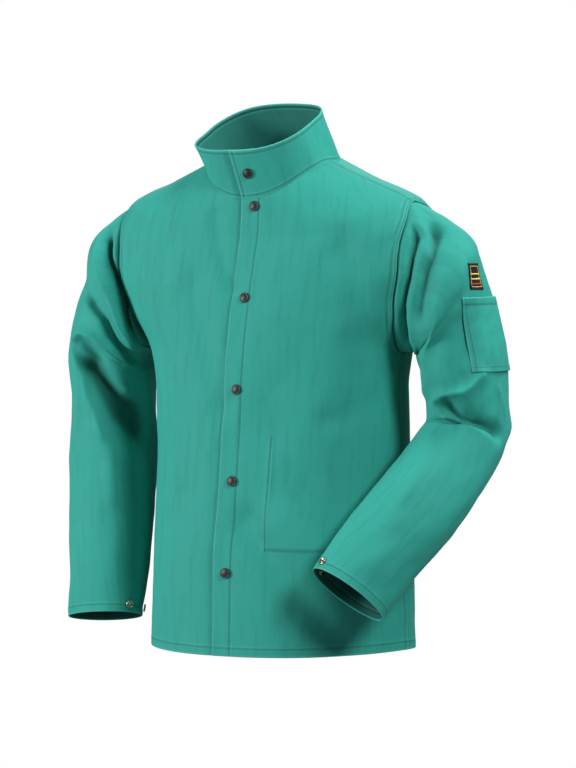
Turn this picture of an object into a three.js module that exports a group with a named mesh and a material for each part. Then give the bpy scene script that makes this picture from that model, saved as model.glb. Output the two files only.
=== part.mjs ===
// A welding jacket of heavy cotton, hollow, in the form that it has when it is worn.
// Millimetres. X is the wearer's left, Y the back, Z up.
// The origin is the middle of the neck opening, at the level where the jacket rests beside the neck.

import * as THREE from 'three';

// Body
const bodyLength = 731;
const underarmDrop = 345;
const hemWidth = 412;
const chestWidth = 406;
const shoulderWidth = 480;
const bodyDepth = 290;
const lapWidth = 43;

// Neck and collar
const neckWidth = 200;
const neckDepth = 160;
const collarHeight = 62;
const collarTilt = 25;
const collarCloth = 2.4;

// Sleeves
const sleeveLength = 560;
const sleeveWidth = 184;

// Cloth and clearances
const cloth = 1.5;
const seamGap = 0.3;
const lapGap = 0.5;
const seatGap = 0.3;
const patchGap = 1.8;
const hollowGap = 0.9;
const cuffHollowGap = 1.4;
const bagGap = 2.6;

// Pockets and badge. A place on the sleeve is an angle, 0 on its outer side and 90 in front, and a
// fall, 0 at the neck level and 1 at the underarm.
const sleevePocketWidth = 104;
const sleevePocketLength = 108;
const pocketPlace = [14, 0.745];
const badgeWidth = 28;
const badgeLength = 38;
const badgeThickness = 1.2;
const badgePlace = [28, 0.50];
const insidePocketWidth = 110;
const insidePocketLength = 165;
const insidePocketFromEdge = 80;
const insidePocketAboveHem = 158;

// Press snaps
const frontSnapCount = 5;
const firstSnapBelowSeam = 14;
const lastSnapAboveHem = 122;
const capDiameter = 15.5;
const capHeight = 3.2;
const studDiameter = 12;
const studHeight = 1.6;
const cuffSnapDiameter = 12.5;
const cuffSnapHeight = 2.4;
const cuffSnapAround = 184;
const cuffSnapSpacing = 44;
const cuffSnapAboveEdge = 12;

// Facets
const frontColumns = 12;
const backColumns = 16;
const sleeveColumns = 22;
const collarRowCount = 3;
const bodyRowCount = 11;
const sleeveRingCount = 21;
const shoulderRowCount = 4;
const patchStep = 16;
const snapSides = 10;
const clearlyShorter = 0.8;

const turn = 2 * Math.PI;
const degrees = Math.PI / 180;

// Heights are written as falls: 0 at the neck level, 1 at the underarm, 2 at the hem
function heightOf(fall) {
  const above = Math.min(fall, 1);
  const below = Math.max(fall - 1, 0);
  return -above * underarmDrop - below * (bodyLength - underarmDrop);
}

// The body's sections, hem first. Each has the falls of its side, front and back, the width that it
// follows and its own half width as a share of it, the depths of its side, front and back lines as
// shares of the body's depth, the place across of the line of the front snaps as a share of the
// chest's width, and how square the section is.
const sectionShares = [
  [1.985, 2.000, 1.995, hemWidth, 0.497, 0.000, -0.614, 0.386, -0.010, 2.3],
  [1.650, 1.650, 1.650, hemWidth, 0.490, 0.000, -0.607, 0.366, -0.010, 2.3],
  [1.320, 1.320, 1.320, chestWidth, 0.490, 0.000, -0.569, 0.345, 0.002, 2.3],
  [1.000, 1.000, 1.000, chestWidth, 0.486, -0.017, -0.545, 0.345, 0.008, 2.4],
  [0.830, 0.830, 0.826, chestWidth, 0.502, -0.034, -0.528, 0.359, 0.013, 2.5],
  [0.638, 0.652, 0.623, shoulderWidth, 0.495, -0.069, -0.503, 0.372, 0.020, 2.7],
  [0.435, 0.522, 0.406, shoulderWidth, 0.538, -0.103, -0.479, 0.359, 0.026, 2.9],
  [0.285, 0.406, 0.256, shoulderWidth, 0.530, -0.124, -0.455, 0.303, 0.032, 2.9],
  [0.182, 0.325, 0.146, shoulderWidth, 0.490, -0.131, -0.438, 0.241, 0.036, 2.8],
  [0.090, 0.245, 0.048, shoulderWidth, 0.346, -0.145, -0.434, 0.179, 0.038, 2.5],
];
const neckMiddle = -0.155 * bodyDepth;
const neckFront = neckMiddle - 0.5 * neckDepth;
const neckBack = neckMiddle + 0.5 * neckDepth;
const neckFalls = [0.006, 0.162, -0.058];
const neckSnapLine = 0.039 * chestWidth;
const neckSquare = 2.2;

// The same sections as lengths, with the neck seam last
const bodySections = [
  ...sectionShares.map(([side, front, back, width, half, sideAt, frontAt, backAt, line, corner]) => [
    side, front, back, half * width, sideAt * bodyDepth, frontAt * bodyDepth, backAt * bodyDepth,
    line * chestWidth, corner,
  ]),
  [...neckFalls, 0.5 * neckWidth, neckMiddle, neckFront, neckBack, neckSnapLine, neckSquare],
];
// The rows of the armhole's ends and of the neck seam. A level is a place between rows.
const underarmRow = 4;
const shoulderRow = 8;
const neckRow = 10;
const armholeFront = 33 * degrees;
const armholeBack = 40 * degrees;

// The collar's rim is a ring that tilts forward over the neck seam and rises to the wearer's left.
// Its places are shares of the neck's width and depth, and its heights are shares of the collar's.
const rimHalfWidth = 0.470 * neckWidth;
const rimHalfDepth = 0.480 * neckDepth;
const rimAcross = -0.068 * neckWidth;
const rimDepth = neckMiddle - 0.115 * neckDepth;
const rimHeight = 0.77 * collarHeight;
const rimSlant = 0.16 * collarHeight;
const rimSquare = 2.4;

// Sleeve stations, shoulder first. Each has its fall, then the share of the sleeve's length below the
// underarm, its place out past the body and its depth, the way its outer side faces and how far
// that side lifts, in degrees, half its thickness and breadth, and how square it is. The sleeves
// hang beside a line halfway between the chest's side and the hem's.
const besideBody = 0.25 * chestWidth + 0.2465 * hemWidth;

const leftStations = [
  [0.575, 0.000, 0.365, -0.065, 5, 62, 0.520, 0.445, 2.1],
  [0.655, 0.000, 0.415, -0.030, 5, 48, 0.430, 0.415, 2.1],
  [0.745, 0.000, 0.450, 0.000, 6, 34, 0.375, 0.400, 2.1],
  [0.905, 0.000, 0.510, 0.020, 8, 16, 0.335, 0.405, 2.1],
  [1.000, 0.062, 0.520, 0.040, 10, 0, 0.315, 0.390, 2.2],
  [1.000, 0.148, 0.470, -0.010, 16, -16, 0.345, 0.370, 2.2],
  [1.000, 0.291, 0.310, -0.265, 22, -32, 0.365, 0.330, 2.1],
  [1.000, 0.412, 0.130, -0.465, 25, -36, 0.350, 0.280, 2.1],
  [1.000, 0.512, 0.000, -0.617, 25, -36, 0.335, 0.230, 2.0],
];
const rightStations = [
  [0.575, 0.000, 0.290, -0.120, -5, 62, 0.520, 0.480, 2.2],
  [0.661, 0.000, 0.320, -0.120, -5, 48, 0.420, 0.450, 2.2],
  [0.745, 0.000, 0.405, -0.115, -5, 34, 0.375, 0.440, 2.2],
  [0.890, 0.000, 0.465, -0.110, -5, 14, 0.345, 0.430, 2.2],
  [1.000, 0.040, 0.470, -0.105, -5, 0, 0.330, 0.400, 2.2],
  [1.000, 0.190, 0.450, -0.125, -5, -3, 0.350, 0.365, 2.2],
  [1.000, 0.330, 0.420, -0.172, -2, -5, 0.360, 0.325, 2.1],
  [1.000, 0.473, 0.385, -0.235, 0, -6, 0.345, 0.290, 2.1],
  [1.000, 0.615, 0.370, -0.290, 2, -6, 0.325, 0.250, 2.0],
];

// Folds. Each runs from one place to another, with the width and rise of its crest, both as shares
// of the sleeve's width. A negative rise is a valley. On a sleeve a place is a station, counted
// from the armhole, and an angle, 0 on the outer side and 90 in front.
const leftSleeveFolds = [
  [0.7, 85, 3.4, 140, 0.10, -0.060],
  [0.6, 55, 3.2, 105, 0.11, 0.040],
  [1.6, 35, 4.4, 75, 0.12, -0.030],
  [5.4, 130, 5.8, 40, 0.12, 0.045],
  [6.1, 150, 6.2, 60, 0.12, -0.050],
  [6.6, 20, 8.2, 80, 0.16, 0.020],
];
const rightSleeveFolds = [
  [0.6, 85, 3.0, 150, 0.10, -0.060],
  [3.6, 15, 4.5, 120, 0.11, 0.055],
  [4.7, 40, 5.0, 110, 0.14, -0.060],
  [5.4, 70, 6.4, 140, 0.12, 0.035],
  [2.2, 40, 3.6, 110, 0.10, -0.030],
];

// On the body a place is a share of the chest's width from the middle and a fall, and the width and
// rise are shares of the body's depth
const bodyFolds = [
  [-0.20, 0.55, -0.07, 1.05, 0.08, -0.020],
  [0.33, 0.60, 0.14, 1.10, 0.16, -0.022],
  [0.17, 1.62, 0.40, 1.92, 0.12, -0.026],
  [0.32, 1.42, 0.44, 1.75, 0.12, 0.020],
];

// Curves through rows of numbers

function steadySlopes(rows, column) {
  const steps = rows.slice(1).map((row, i) => row[column] - rows[i][column]);
  const slopes = [steps[0]];
  for (let i = 1; i < steps.length; i += 1) {
    const product = steps[i - 1] * steps[i];
    slopes.push(product > 0 ? 2 * product / (steps[i - 1] + steps[i]) : 0);
  }
  slopes.push(steps.at(-1));
  return slopes;
}

function flowingSlopes(rows, column) {
  const last = rows.length - 1;
  return rows.map((row, i) => {
    const before = rows[Math.max(i - 1, 0)][column];
    const after = rows[Math.min(i + 1, last)][column];
    return (after - before) / (i === 0 || i === last ? 1 : 2);
  });
}

function rowAt(rows, slopes, level) {
  const index = Math.min(Math.max(Math.floor(level), 0), rows.length - 2);
  const t = level - index;
  const leave = t * t * (3 - 2 * t);
  return rows[index].map((start, column) => {
    const end = rows[index + 1][column];
    const first = slopes[column][index] * t * (1 - t) * (1 - t);
    const second = slopes[column][index + 1] * t * t * (1 - t);
    return start + (end - start) * leave + first - second;
  });
}

function smooth(low, high, value) {
  const t = Math.min(Math.max((value - low) / (high - low), 0), 1);
  return t * t * (3 - 2 * t);
}

function foldRise(folds, a, b) {
  let rise = 0;
  for (const [a0, b0, a1, b1, width, height] of folds) {
    const da = a1 - a0;
    const db = b1 - b0;
    const along = ((a - a0) * da + (b - b0) * db) / (da * da + db * db);
    const t = Math.min(Math.max(along, 0), 1);
    const distance = Math.hypot(a - a0 - t * da, b - b0 - t * db);
    rise += height * Math.exp(-((distance / width) ** 2));
  }
  return rise;
}

// Surfaces

function roundness(angle, power) {
  return (Math.abs(Math.cos(angle)) ** power + Math.abs(Math.sin(angle)) ** power) ** (-1 / power);
}

const bodySlopes = bodySections[0].map((value, column) => steadySlopes(bodySections, column));
const slopeOfLevels = 2.2;

function sectionAt(level) {
  const row = rowAt(bodySections, bodySlopes, level);
  const [sideFall, frontFall, backFall, halfWidth, sideDepth, frontDepth, backDepth, snapLine, corner] = row;
  return { sideFall, frontFall, backFall, halfWidth, sideDepth, frontDepth, backDepth, snapLine, corner };
}

// A point of the bare body: level 0 is the hem, angle 0 the wearer's left side, -90 the front
function bareBodyPoint(level, angle) {
  const section = sectionAt(level);
  const radius = roundness(angle, section.corner);
  const reach = Math.abs(Math.sin(angle)) * radius;
  const inFront = Math.sin(angle) < 0;
  const depth = inFront ? section.frontDepth : section.backDepth;
  const fall = inFront ? section.frontFall : section.backFall;
  const share = reach ** slopeOfLevels;
  return new THREE.Vector3(
    section.halfWidth * Math.cos(angle) * radius,
    section.sideDepth + (depth - section.sideDepth) * reach,
    heightOf(section.sideFall + (fall - section.sideFall) * share),
  );
}

const foldsOnBody = bodyFolds.map(([x0, fall0, x1, fall1, width, rise]) => [
  x0 * chestWidth, heightOf(fall0), x1 * chestWidth, heightOf(fall1), width * bodyDepth, rise * bodyDepth,
]);

function normalOf(surface, a, b) {
  const step = 0.01;
  const alongA = surface(a + step, b).sub(surface(a - step, b));
  const alongB = surface(a, b + step).sub(surface(a, b - step));
  return alongA.cross(alongB).normalize();
}

function bodyPoint(level, angle) {
  const point = bareBodyPoint(level, angle);
  if (Math.sin(angle) > 0) return point;
  const rise = foldRise(foldsOnBody, point.x, point.z);
  const edges = smooth(0, 0.3, -Math.sin(angle)) * smooth(neckRow, neckRow - 1, level);
  return point.add(new THREE.Vector3(0, -rise * edges, 0));
}

function bodyOut(level, angle) {
  const inside = Math.min(Math.max(level, 0.01), neckRow - 0.01);
  return normalOf(bodyPoint, inside, angle).negate();
}

function frontAngle(level, fromSnapLine) {
  const { snapLine, halfWidth, corner } = sectionAt(level);
  const across = (snapLine + fromSnapLine) / halfWidth;
  const reach = (1 - Math.abs(across) ** corner) ** (1 / corner);
  return Math.atan2(-reach, across);
}

// The armhole is a closed curve on the body. Turn 0 is its top, 90 its front.
const armholeMiddle = (shoulderRow + underarmRow) / 2;
const armholeReach = (shoulderRow - underarmRow) / 2;

function armholeAngle(side, around) {
  const swing = -Math.sin(around) * (Math.sin(around) > 0 ? armholeFront : armholeBack);
  return side > 0 ? swing : Math.PI - swing;
}

function armholePoint(side, around) {
  return bodyPoint(armholeMiddle + armholeReach * Math.cos(around), armholeAngle(side, around));
}

// Sleeve rings stand on their stations. Ring 0 is the armhole.
function stationFrames(side, stations) {
  const centres = stations.map(([fall, below, out, depth]) => new THREE.Vector3(
    side * (besideBody + out * sleeveWidth),
    depth * bodyDepth,
    heightOf(fall) - below * sleeveLength,
  ));
  return stations.map(([, , , , facing, lift, thick, broad, corner], i) => {
    const before = centres[Math.max(i - 1, 0)];
    const after = centres[Math.min(i + 1, stations.length - 1)];
    const down = after.clone().sub(before).normalize();
    const level = Math.cos(lift * degrees);
    const across = side * Math.cos(facing * degrees) * level;
    const outer = new THREE.Vector3(across, Math.sin(facing * degrees) * level, Math.sin(lift * degrees));
    const front = new THREE.Vector3().crossVectors(down, outer).normalize().multiplyScalar(side);
    return { centre: centres[i], outer, front, thick, broad, corner };
  });
}

function ringPoint({ centre, outer, front, thick, broad, corner }, around) {
  const radius = roundness(around, corner);
  return centre.clone()
    .addScaledVector(outer, thick * sleeveWidth * Math.cos(around) * radius)
    .addScaledVector(front, broad * sleeveWidth * Math.sin(around) * radius);
}

function makeSleeve(side, stations, folds) {
  const frames = stationFrames(side, stations);
  const last = stations.length;
  const alongStep = sleeveLength / last;
  const aroundStep = 0.45 * sleeveWidth;
  const foldsHere = folds.map(([ring0, angle0, ring1, angle1, width, rise]) => [
    ring0 * alongStep, angle0 * degrees * aroundStep, ring1 * alongStep, angle1 * degrees * aroundStep,
    width * sleeveWidth, rise * sleeveWidth,
  ]);

  function barePoint(ring, around) {
    const rows = [armholePoint(side, around), ...frames.map((frame) => ringPoint(frame, around))];
    const numbers = rows.map((row) => row.toArray());
    const slopes = [0, 1, 2].map((column) => flowingSlopes(numbers, column));
    return new THREE.Vector3(...rowAt(numbers, slopes, ring));
  }

  function point(ring, around) {
    const positive = ((around % turn) + turn) % turn;
    const here = barePoint(ring, positive);
    const outwards = here.clone().sub(barePoint(ring, positive + Math.PI)).normalize();
    const rise = foldRise(foldsHere, ring * alongStep, positive * aroundStep);
    const edges = smooth(0, 0.8, ring) * smooth(last, last - 0.8, ring);
    return here.addScaledVector(outwards, rise * edges);
  }

  function out(ring, around) {
    const inside = Math.min(Math.max(ring, 0.02), last - 0.02);
    return normalOf(point, inside, around).multiplyScalar(-side);
  }

  return { side, last, point, out };
}

const leftSleeve = makeSleeve(1, leftStations, leftSleeveFolds);
const rightSleeve = makeSleeve(-1, rightStations, rightSleeveFolds);

// At the armhole the body's and the sleeve's walls share the direction halfway between theirs
function armholeSeam(sleeve, around) {
  const level = armholeMiddle + armholeReach * Math.cos(around);
  const body = bodyOut(level, armholeAngle(sleeve.side, around));
  const out = body.add(sleeve.out(0, around)).normalize();
  const along = armholePoint(sleeve.side, around + 0.01).sub(armholePoint(sleeve.side, around - 0.01));
  const away = along.normalize().cross(out).multiplyScalar(-sleeve.side);
  return { point: armholePoint(sleeve.side, around), out, away };
}

// A point of the collar, from 0 at the neck seam to 1 at the rim
function collarPoint(level, angle) {
  const radius = roundness(angle, rimSquare);
  const across = rimAcross + rimHalfWidth * Math.cos(angle) * radius;
  const forward = rimHalfDepth * Math.sin(angle) * radius;
  const height = rimHeight + Math.tan(collarTilt * degrees) * forward + rimSlant * Math.cos(angle) ** 3;
  const rim = new THREE.Vector3(across, rimDepth + forward, height);
  return bodyPoint(neckRow, angle).lerp(rim, level);
}

function collarOut(level, angle) {
  return normalOf(collarPoint, Math.min(Math.max(level, 0.02), 0.98), angle).negate();
}

// Solids

// A wall between an outer grid of places and the same grid set back along each place's direction.
// A facet is cut along its clearly shorter diagonal, on both faces alike.
function wall(grid, thickness, closed) {
  const rows = grid.length;
  const columns = grid[0].length;
  const positions = [];
  for (const layer of [0, thickness]) {
    for (const place of grid.flat()) {
      positions.push(...place.point.clone().addScaledVector(place.out, -layer).toArray());
    }
  }
  const places = grid.flat().map((place) => place.point);
  const back = rows * columns;
  const at = (row, column) => row * columns + (column % columns);
  const faces = [];
  const quad = (a, b, c, d) => faces.push(a, b, c, a, c, d);
  const spans = closed ? columns : columns - 1;
  for (let row = 0; row < rows - 1; row += 1) {
    for (let column = 0; column < spans; column += 1) {
      const corners = [at(row, column), at(row, column + 1), at(row + 1, column + 1), at(row + 1, column)];
      const [a, b, c, d] = corners.map((corner) => places[corner]);
      if (b.distanceTo(d) < clearlyShorter * a.distanceTo(c)) corners.push(corners.shift());
      quad(...corners);
      quad(...[corners[0], corners[3], corners[2], corners[1]].map((corner) => corner + back));
    }
  }
  for (let column = 0; column < spans; column += 1) {
    const near = [at(0, column), at(0, column + 1)];
    const far = [at(rows - 1, column), at(rows - 1, column + 1)];
    quad(near[1], near[0], near[0] + back, near[1] + back);
    quad(far[0], far[1], far[1] + back, far[0] + back);
  }
  if (!closed) {
    for (let row = 0; row < rows - 1; row += 1) {
      const first = [at(row, 0), at(row + 1, 0)];
      const end = [at(row, columns - 1), at(row + 1, columns - 1)];
      quad(first[0], first[1], first[1] + back, first[0] + back);
      quad(end[1], end[0], end[0] + back, end[1] + back);
    }
  }
  const geometry = new THREE.BufferGeometry();
  geometry.setAttribute('position', new THREE.Float32BufferAttribute(positions, 3));
  geometry.setIndex(faces);
  if (volumeOf(geometry) < 0) geometry.setIndex(faces.reverse());
  return geometry;
}

function volumeOf(geometry) {
  const { position } = geometry.attributes;
  const corner = (i) => new THREE.Vector3().fromBufferAttribute(position, geometry.index.array[i]);
  let sixfold = 0;
  for (let i = 0; i < geometry.index.count; i += 3) {
    sixfold += corner(i).dot(corner(i + 1).cross(corner(i + 2)));
  }
  return sixfold / 6;
}

function spaced(from, to, count) {
  return Array.from({ length: count + 1 }, (unused, i) => from + (to - from) * i / count);
}

// The body's grid rows, each with its level at the side and its level in the middle of the panel.
// At the side the rows stand where the sleeve's columns meet the armhole.
function bodyRowLevels() {
  const lower = spaced(0, underarmRow, bodyRowCount).slice(0, -1);
  const upper = spaced(shoulderRow, neckRow, shoulderRowCount).slice(1);
  const atSide = spaced(Math.PI, 0, sleeveColumns / 2);
  const inMiddle = spaced(underarmRow, shoulderRow, sleeveColumns / 2);
  const even = (levels) => levels.map((level) => [level, level]);
  const onArmhole = atSide.map((around, i) => [armholeMiddle + armholeReach * Math.cos(around), inMiddle[i]]);
  return [...even(lower), ...onArmhole, ...even(upper)];
}

// The edge of a panel along the side seam, the armhole and the shoulder seam
function sideEdge(sleeve, level, facing) {
  const onArmhole = Math.min(Math.max((level - armholeMiddle) / armholeReach, -1), 1);
  const angleOf = (distance) => (sleeve.side > 0 ? distance : Math.PI - distance);
  const isOnArmhole = level >= underarmRow && level <= shoulderRow;
  const around = Math.acos(onArmhole) * (facing < 0 ? 1 : -1);
  const angle = isOnArmhole ? armholeAngle(sleeve.side, around) : angleOf(0);
  const seam = armholeSeam(sleeve, around);
  const out = isOnArmhole ? seam.out : bodyOut(level, angle);
  const point = isOnArmhole ? seam.point : bodyPoint(level, angle);
  if (isOnArmhole) point.addScaledVector(seam.away, -0.5 * seamGap);
  if (Math.abs(onArmhole) === 1) point.y += facing * 0.5 * seamGap;
  return { angle, point, out };
}

// Angles of a front's columns: three across the lap, the same on both fronts, then on to the side
function frontAngles(side, level, sideAngle) {
  const turned = side > 0 ? 0 : turn;
  const lap = [-side, 0, side].map((share) => frontAngle(level, share * 0.5 * lapWidth) + turned);
  return [...lap, ...spaced(lap[2], sideAngle, frontColumns - 2).slice(1)];
}

// How much of the lap's step inwards a column of the right front or of the collar's right end takes
function underlapShare(column) {
  return [1, 1, 1, 0.5][column] ?? 0;
}

function frontPanel(sleeve) {
  const side = sleeve.side;
  return bodyRowLevels().map(([sideLevel, middleLevel]) => {
    const edge = sideEdge(sleeve, sideLevel, -1);
    const angles = frontAngles(side, middleLevel, edge.angle);
    const row = angles.slice(0, -1).map((angle, column) => {
      const share = Math.max(column - 2, 0) / (angles.length - 3);
      const level = middleLevel + (sideLevel - middleLevel) * share;
      const place = { point: bodyPoint(level, angle), out: bodyOut(level, angle) };
      const under = side < 0 ? underlapShare(column) : 0;
      place.point.addScaledVector(place.out, -(cloth + lapGap) * under);
      return place;
    });
    return side > 0 ? [...row, edge] : [edge, ...row.reverse()];
  });
}

function backPanel() {
  return bodyRowLevels().map(([sideLevel, middleLevel]) => {
    const left = sideEdge(leftSleeve, sideLevel, 1);
    const right = sideEdge(rightSleeve, sideLevel, 1);
    const inner = spaced(left.angle, right.angle, backColumns).slice(1, -1);
    const row = inner.map((angle, column) => {
      const share = Math.abs(2 * (column + 1) / backColumns - 1);
      const level = middleLevel + (sideLevel - middleLevel) * share;
      return { point: bodyPoint(level, angle), out: bodyOut(level, angle) };
    });
    return [left, ...row, right];
  });
}

// Rings of the sleeve's grid: close together beside the armhole's seam, then evenly spaced
const seamRings = [0, 0.12];
const firstEvenRing = 0.35;

function sleeveGrid(sleeve) {
  const rings = [...seamRings, ...spaced(firstEvenRing, sleeve.last, sleeveRingCount)];
  const angles = spaced(0, turn, sleeveColumns).slice(0, -1);
  return rings.map((ring) => angles.map((around) => {
    if (ring > 0) return { point: sleeve.point(ring, around), out: sleeve.out(ring, around) };
    const seam = armholeSeam(sleeve, around);
    return { point: seam.point.addScaledVector(seam.away, 0.5 * seamGap), out: seam.out };
  }));
}

// The collar's columns stand on those of the panels' top edges
function collarGrid() {
  const left = frontAngles(1, neckRow, 0);
  const back = spaced(0, Math.PI, backColumns).slice(1);
  const right = frontAngles(-1, neckRow, Math.PI).reverse().slice(1);
  const angles = [...left, ...back, ...right];
  return spaced(0, 1, collarRowCount).map((level) => angles.map((angle, column) => {
    const out = collarOut(level, angle);
    const point = collarPoint(level, angle);
    if (level === 0) point.z += seamGap;
    const under = underlapShare(angles.length - 1 - column);
    return { point: point.addScaledVector(out, -(collarCloth + lapGap) * under), out };
  }));
}

// Pieces that sit on the cloth

// The number at which a test that holds from low onwards stops holding, found by halving
function halved(low, high, holds) {
  let from = low;
  let to = high;
  for (let i = 0; i < 24; i += 1) {
    const middle = (from + to) / 2;
    if (holds(middle)) from = middle;
    else to = middle;
  }
  return from;
}

// The place on the front at a distance from the line of the snaps and a height
function frontPlace(fromSnapLine, height) {
  const at = (level) => bodyPoint(level, frontAngle(level, fromSnapLine));
  const level = halved(0, neckRow, (middle) => at(middle).z < height);
  return { point: at(level), out: bodyOut(level, frontAngle(level, fromSnapLine)) };
}

// The place at a height on the facets along one of a grid's columns
function columnPlace(grid, column, height) {
  const above = grid.findIndex((row) => row[column].point.z > height);
  const [low, high] = [grid[above - 1], grid[above]];
  const share = (height - low[column].point.z) / (high[column].point.z - low[column].point.z);
  const point = low[column].point.clone().lerp(high[column].point, share);
  const across = low[column + 1].point.clone().sub(low[column - 1].point);
  const up = high[column].point.clone().sub(low[column].point);
  return { point, out: across.cross(up).normalize() };
}

// The place on a sleeve at an angle and a height
function sleeveHeightPlace(sleeve, around, height) {
  const ring = halved(1, sleeve.last, (middle) => sleeve.point(middle, around).z > height);
  return { point: sleeve.point(ring, around), out: sleeve.out(ring, around) };
}

// The place beside a sleeve's open end, across from an angle and back from the edge
function cuffPlace(sleeve, around, across, fromEdge) {
  const step = 0.1;
  const here = sleeve.point(sleeve.last, around);
  const perRing = sleeve.point(sleeve.last - step, around).distanceTo(here) / step;
  const perAngle = sleeve.point(sleeve.last, around + step).distanceTo(here) / step;
  const ring = sleeve.last - fromEdge / perRing;
  const aroundThere = around + across / perAngle;
  return { point: sleeve.point(ring, aroundThere), out: sleeve.out(ring, aroundThere) };
}

// A flat patch that follows the cloth. Lift is the height of its outer face over the cloth.
function patchGrid(placeAt, width, length, lift) {
  return spaced(-0.5 * length, 0.5 * length, Math.ceil(length / patchStep)).map((along) => (
    spaced(-0.5 * width, 0.5 * width, Math.ceil(width / patchStep)).map((across) => {
      const place = placeAt(across, along);
      place.point.addScaledVector(place.out, lift);
      return place;
    })
  ));
}

// A round snap part with a domed face, its flat back at zero and its face up
function snapShape(diameter, height) {
  const radius = 0.5 * diameter;
  const profile = [[0, 0], [radius, 0], [radius, 0.5 * height], [0.7 * radius, height], [0, height]];
  return new THREE.LatheGeometry(profile.map(([r, y]) => new THREE.Vector2(r, y)), snapSides);
}

const jacket = new THREE.Group();

const materials = {
  cloth: new THREE.MeshStandardMaterial({ color: 0x2fa392, roughness: 0.85, metalness: 0 }),
  cap: new THREE.MeshStandardMaterial({ color: 0x1c2426, roughness: 0.4, metalness: 0.3 }),
  stud: new THREE.MeshStandardMaterial({ color: 0xa9a28c, roughness: 0.35, metalness: 1 }),
  badge: new THREE.MeshStandardMaterial({ color: 0x17181a, roughness: 0.8, metalness: 0 }),
};

function addPiece(name, geometry, material) {
  const mesh = new THREE.Mesh(geometry, material);
  mesh.name = name;
  jacket.add(mesh);
  return mesh;
}

// A snap part seated on a place, facing along its direction, or against it on the inner face
function addSnap(name, place, inwards, shape, seat, material) {
  const facing = place.out.clone().multiplyScalar(inwards ? -1 : 1);
  const mesh = addPiece(name, shape, material);
  mesh.position.copy(place.point).addScaledVector(facing, seat);
  mesh.quaternion.setFromUnitVectors(new THREE.Vector3(0, 1, 0), facing);
}

const leftFront = frontPanel(leftSleeve);

function addPanels() {
  addPiece('left_front', wall(leftFront, cloth, false), materials.cloth);
  addPiece('right_front', wall(frontPanel(rightSleeve), cloth, false), materials.cloth);
  addPiece('back_panel', wall(backPanel(), cloth, false), materials.cloth);
  addPiece('left_sleeve', wall(sleeveGrid(leftSleeve), cloth, true), materials.cloth);
  addPiece('right_sleeve', wall(sleeveGrid(rightSleeve), cloth, true), materials.cloth);
  addPiece('collar', wall(collarGrid(), collarCloth, false), materials.cloth);
}

// Places of an upright patch on the left sleeve, its middle at an angle and a fall
function onUpperArm([angle, fall], width) {
  const around = angle * degrees;
  const height = heightOf(fall);
  const step = width / sleeveWidth;
  const ends = [-step, step].map((swing) => sleeveHeightPlace(leftSleeve, around + swing, height).point);
  const perAngle = ends[0].distanceTo(ends[1]) / (2 * step);
  return (across, along) => sleeveHeightPlace(leftSleeve, around + across / perAngle, height - along);
}

function addPatches() {
  const onPocket = onUpperArm(pocketPlace, sleevePocketWidth);
  const pocket = patchGrid(onPocket, sleevePocketWidth, sleevePocketLength, cloth + patchGap);
  addPiece('sleeve_pocket', wall(pocket, cloth, false), materials.cloth);
  const onBadge = onUpperArm(badgePlace, badgeWidth);
  const badge = patchGrid(onBadge, badgeWidth, badgeLength, badgeThickness + patchGap);
  addPiece('sleeve_badge', wall(badge, badgeThickness, false), materials.badge);
  const pocketMiddle = insidePocketFromEdge - 0.5 * lapWidth + 0.5 * insidePocketWidth;
  const pocketHeight = -bodyLength + insidePocketAboveHem + 0.5 * insidePocketLength;
  const onFront = (across, along) => frontPlace(pocketMiddle + across, pocketHeight - along);
  const inside = patchGrid(onFront, insidePocketWidth, insidePocketLength, -cloth - bagGap);
  addPiece('inside_pocket', wall(inside, cloth, false), materials.cloth);
}

function addFrontSnaps() {
  const cap = snapShape(capDiameter, capHeight);
  const stud = snapShape(studDiameter, studHeight);
  const studSeat = cloth + lapGap + cloth + hollowGap;
  const highest = heightOf(sectionAt(neckRow).frontFall) - firstSnapBelowSeam;
  const lowest = -bodyLength + lastSnapAboveHem;
  const snapLineOfGrid = 1;
  spaced(highest, lowest, frontSnapCount - 1).forEach((height, i) => {
    const place = columnPlace(leftFront, snapLineOfGrid, height);
    addSnap(`front_snap_cap_${i + 1}`, place, false, cap, seatGap, materials.cap);
    addSnap(`front_snap_stud_${i + 1}`, place, true, stud, studSeat, materials.stud);
  });
  const middle = frontAngle(neckRow, 0);
  const onCollar = { point: collarPoint(0.5, middle), out: collarOut(0.5, middle) };
  addSnap('collar_snap_cap', onCollar, false, cap, seatGap, materials.cap);
  const collarStudSeat = collarCloth + lapGap + collarCloth + hollowGap;
  addSnap('collar_snap_stud', onCollar, true, stud, collarStudSeat, materials.stud);
}

function addCuffSnaps(name, sleeve) {
  const shape = snapShape(cuffSnapDiameter, cuffSnapHeight);
  const back = snapShape(studDiameter, studHeight);
  [-0.5, 0.5].forEach((share, i) => {
    const across = share * cuffSnapSpacing;
    const place = cuffPlace(sleeve, cuffSnapAround * degrees, across, cuffSnapAboveEdge);
    addSnap(`${name}_cuff_snap_${i + 1}`, place, false, shape, seatGap, materials.stud);
    addSnap(`${name}_cuff_snap_back_${i + 1}`, place, true, back, cloth + cuffHollowGap, materials.stud);
  });
}

addPanels();
addPatches();
addFrontSnaps();
addCuffSnaps('left', leftSleeve);
addCuffSnaps('right', rightSleeve);

export default jacket;
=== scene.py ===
# A welding jacket of heavy cotton in its worn form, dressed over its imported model.
# Metres. X is the wearer's left, Y the back, Z up, and the origin is in the neck opening.

import math

import bpy
import numpy as np
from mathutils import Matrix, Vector
from mathutils.kdtree import KDTree


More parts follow.
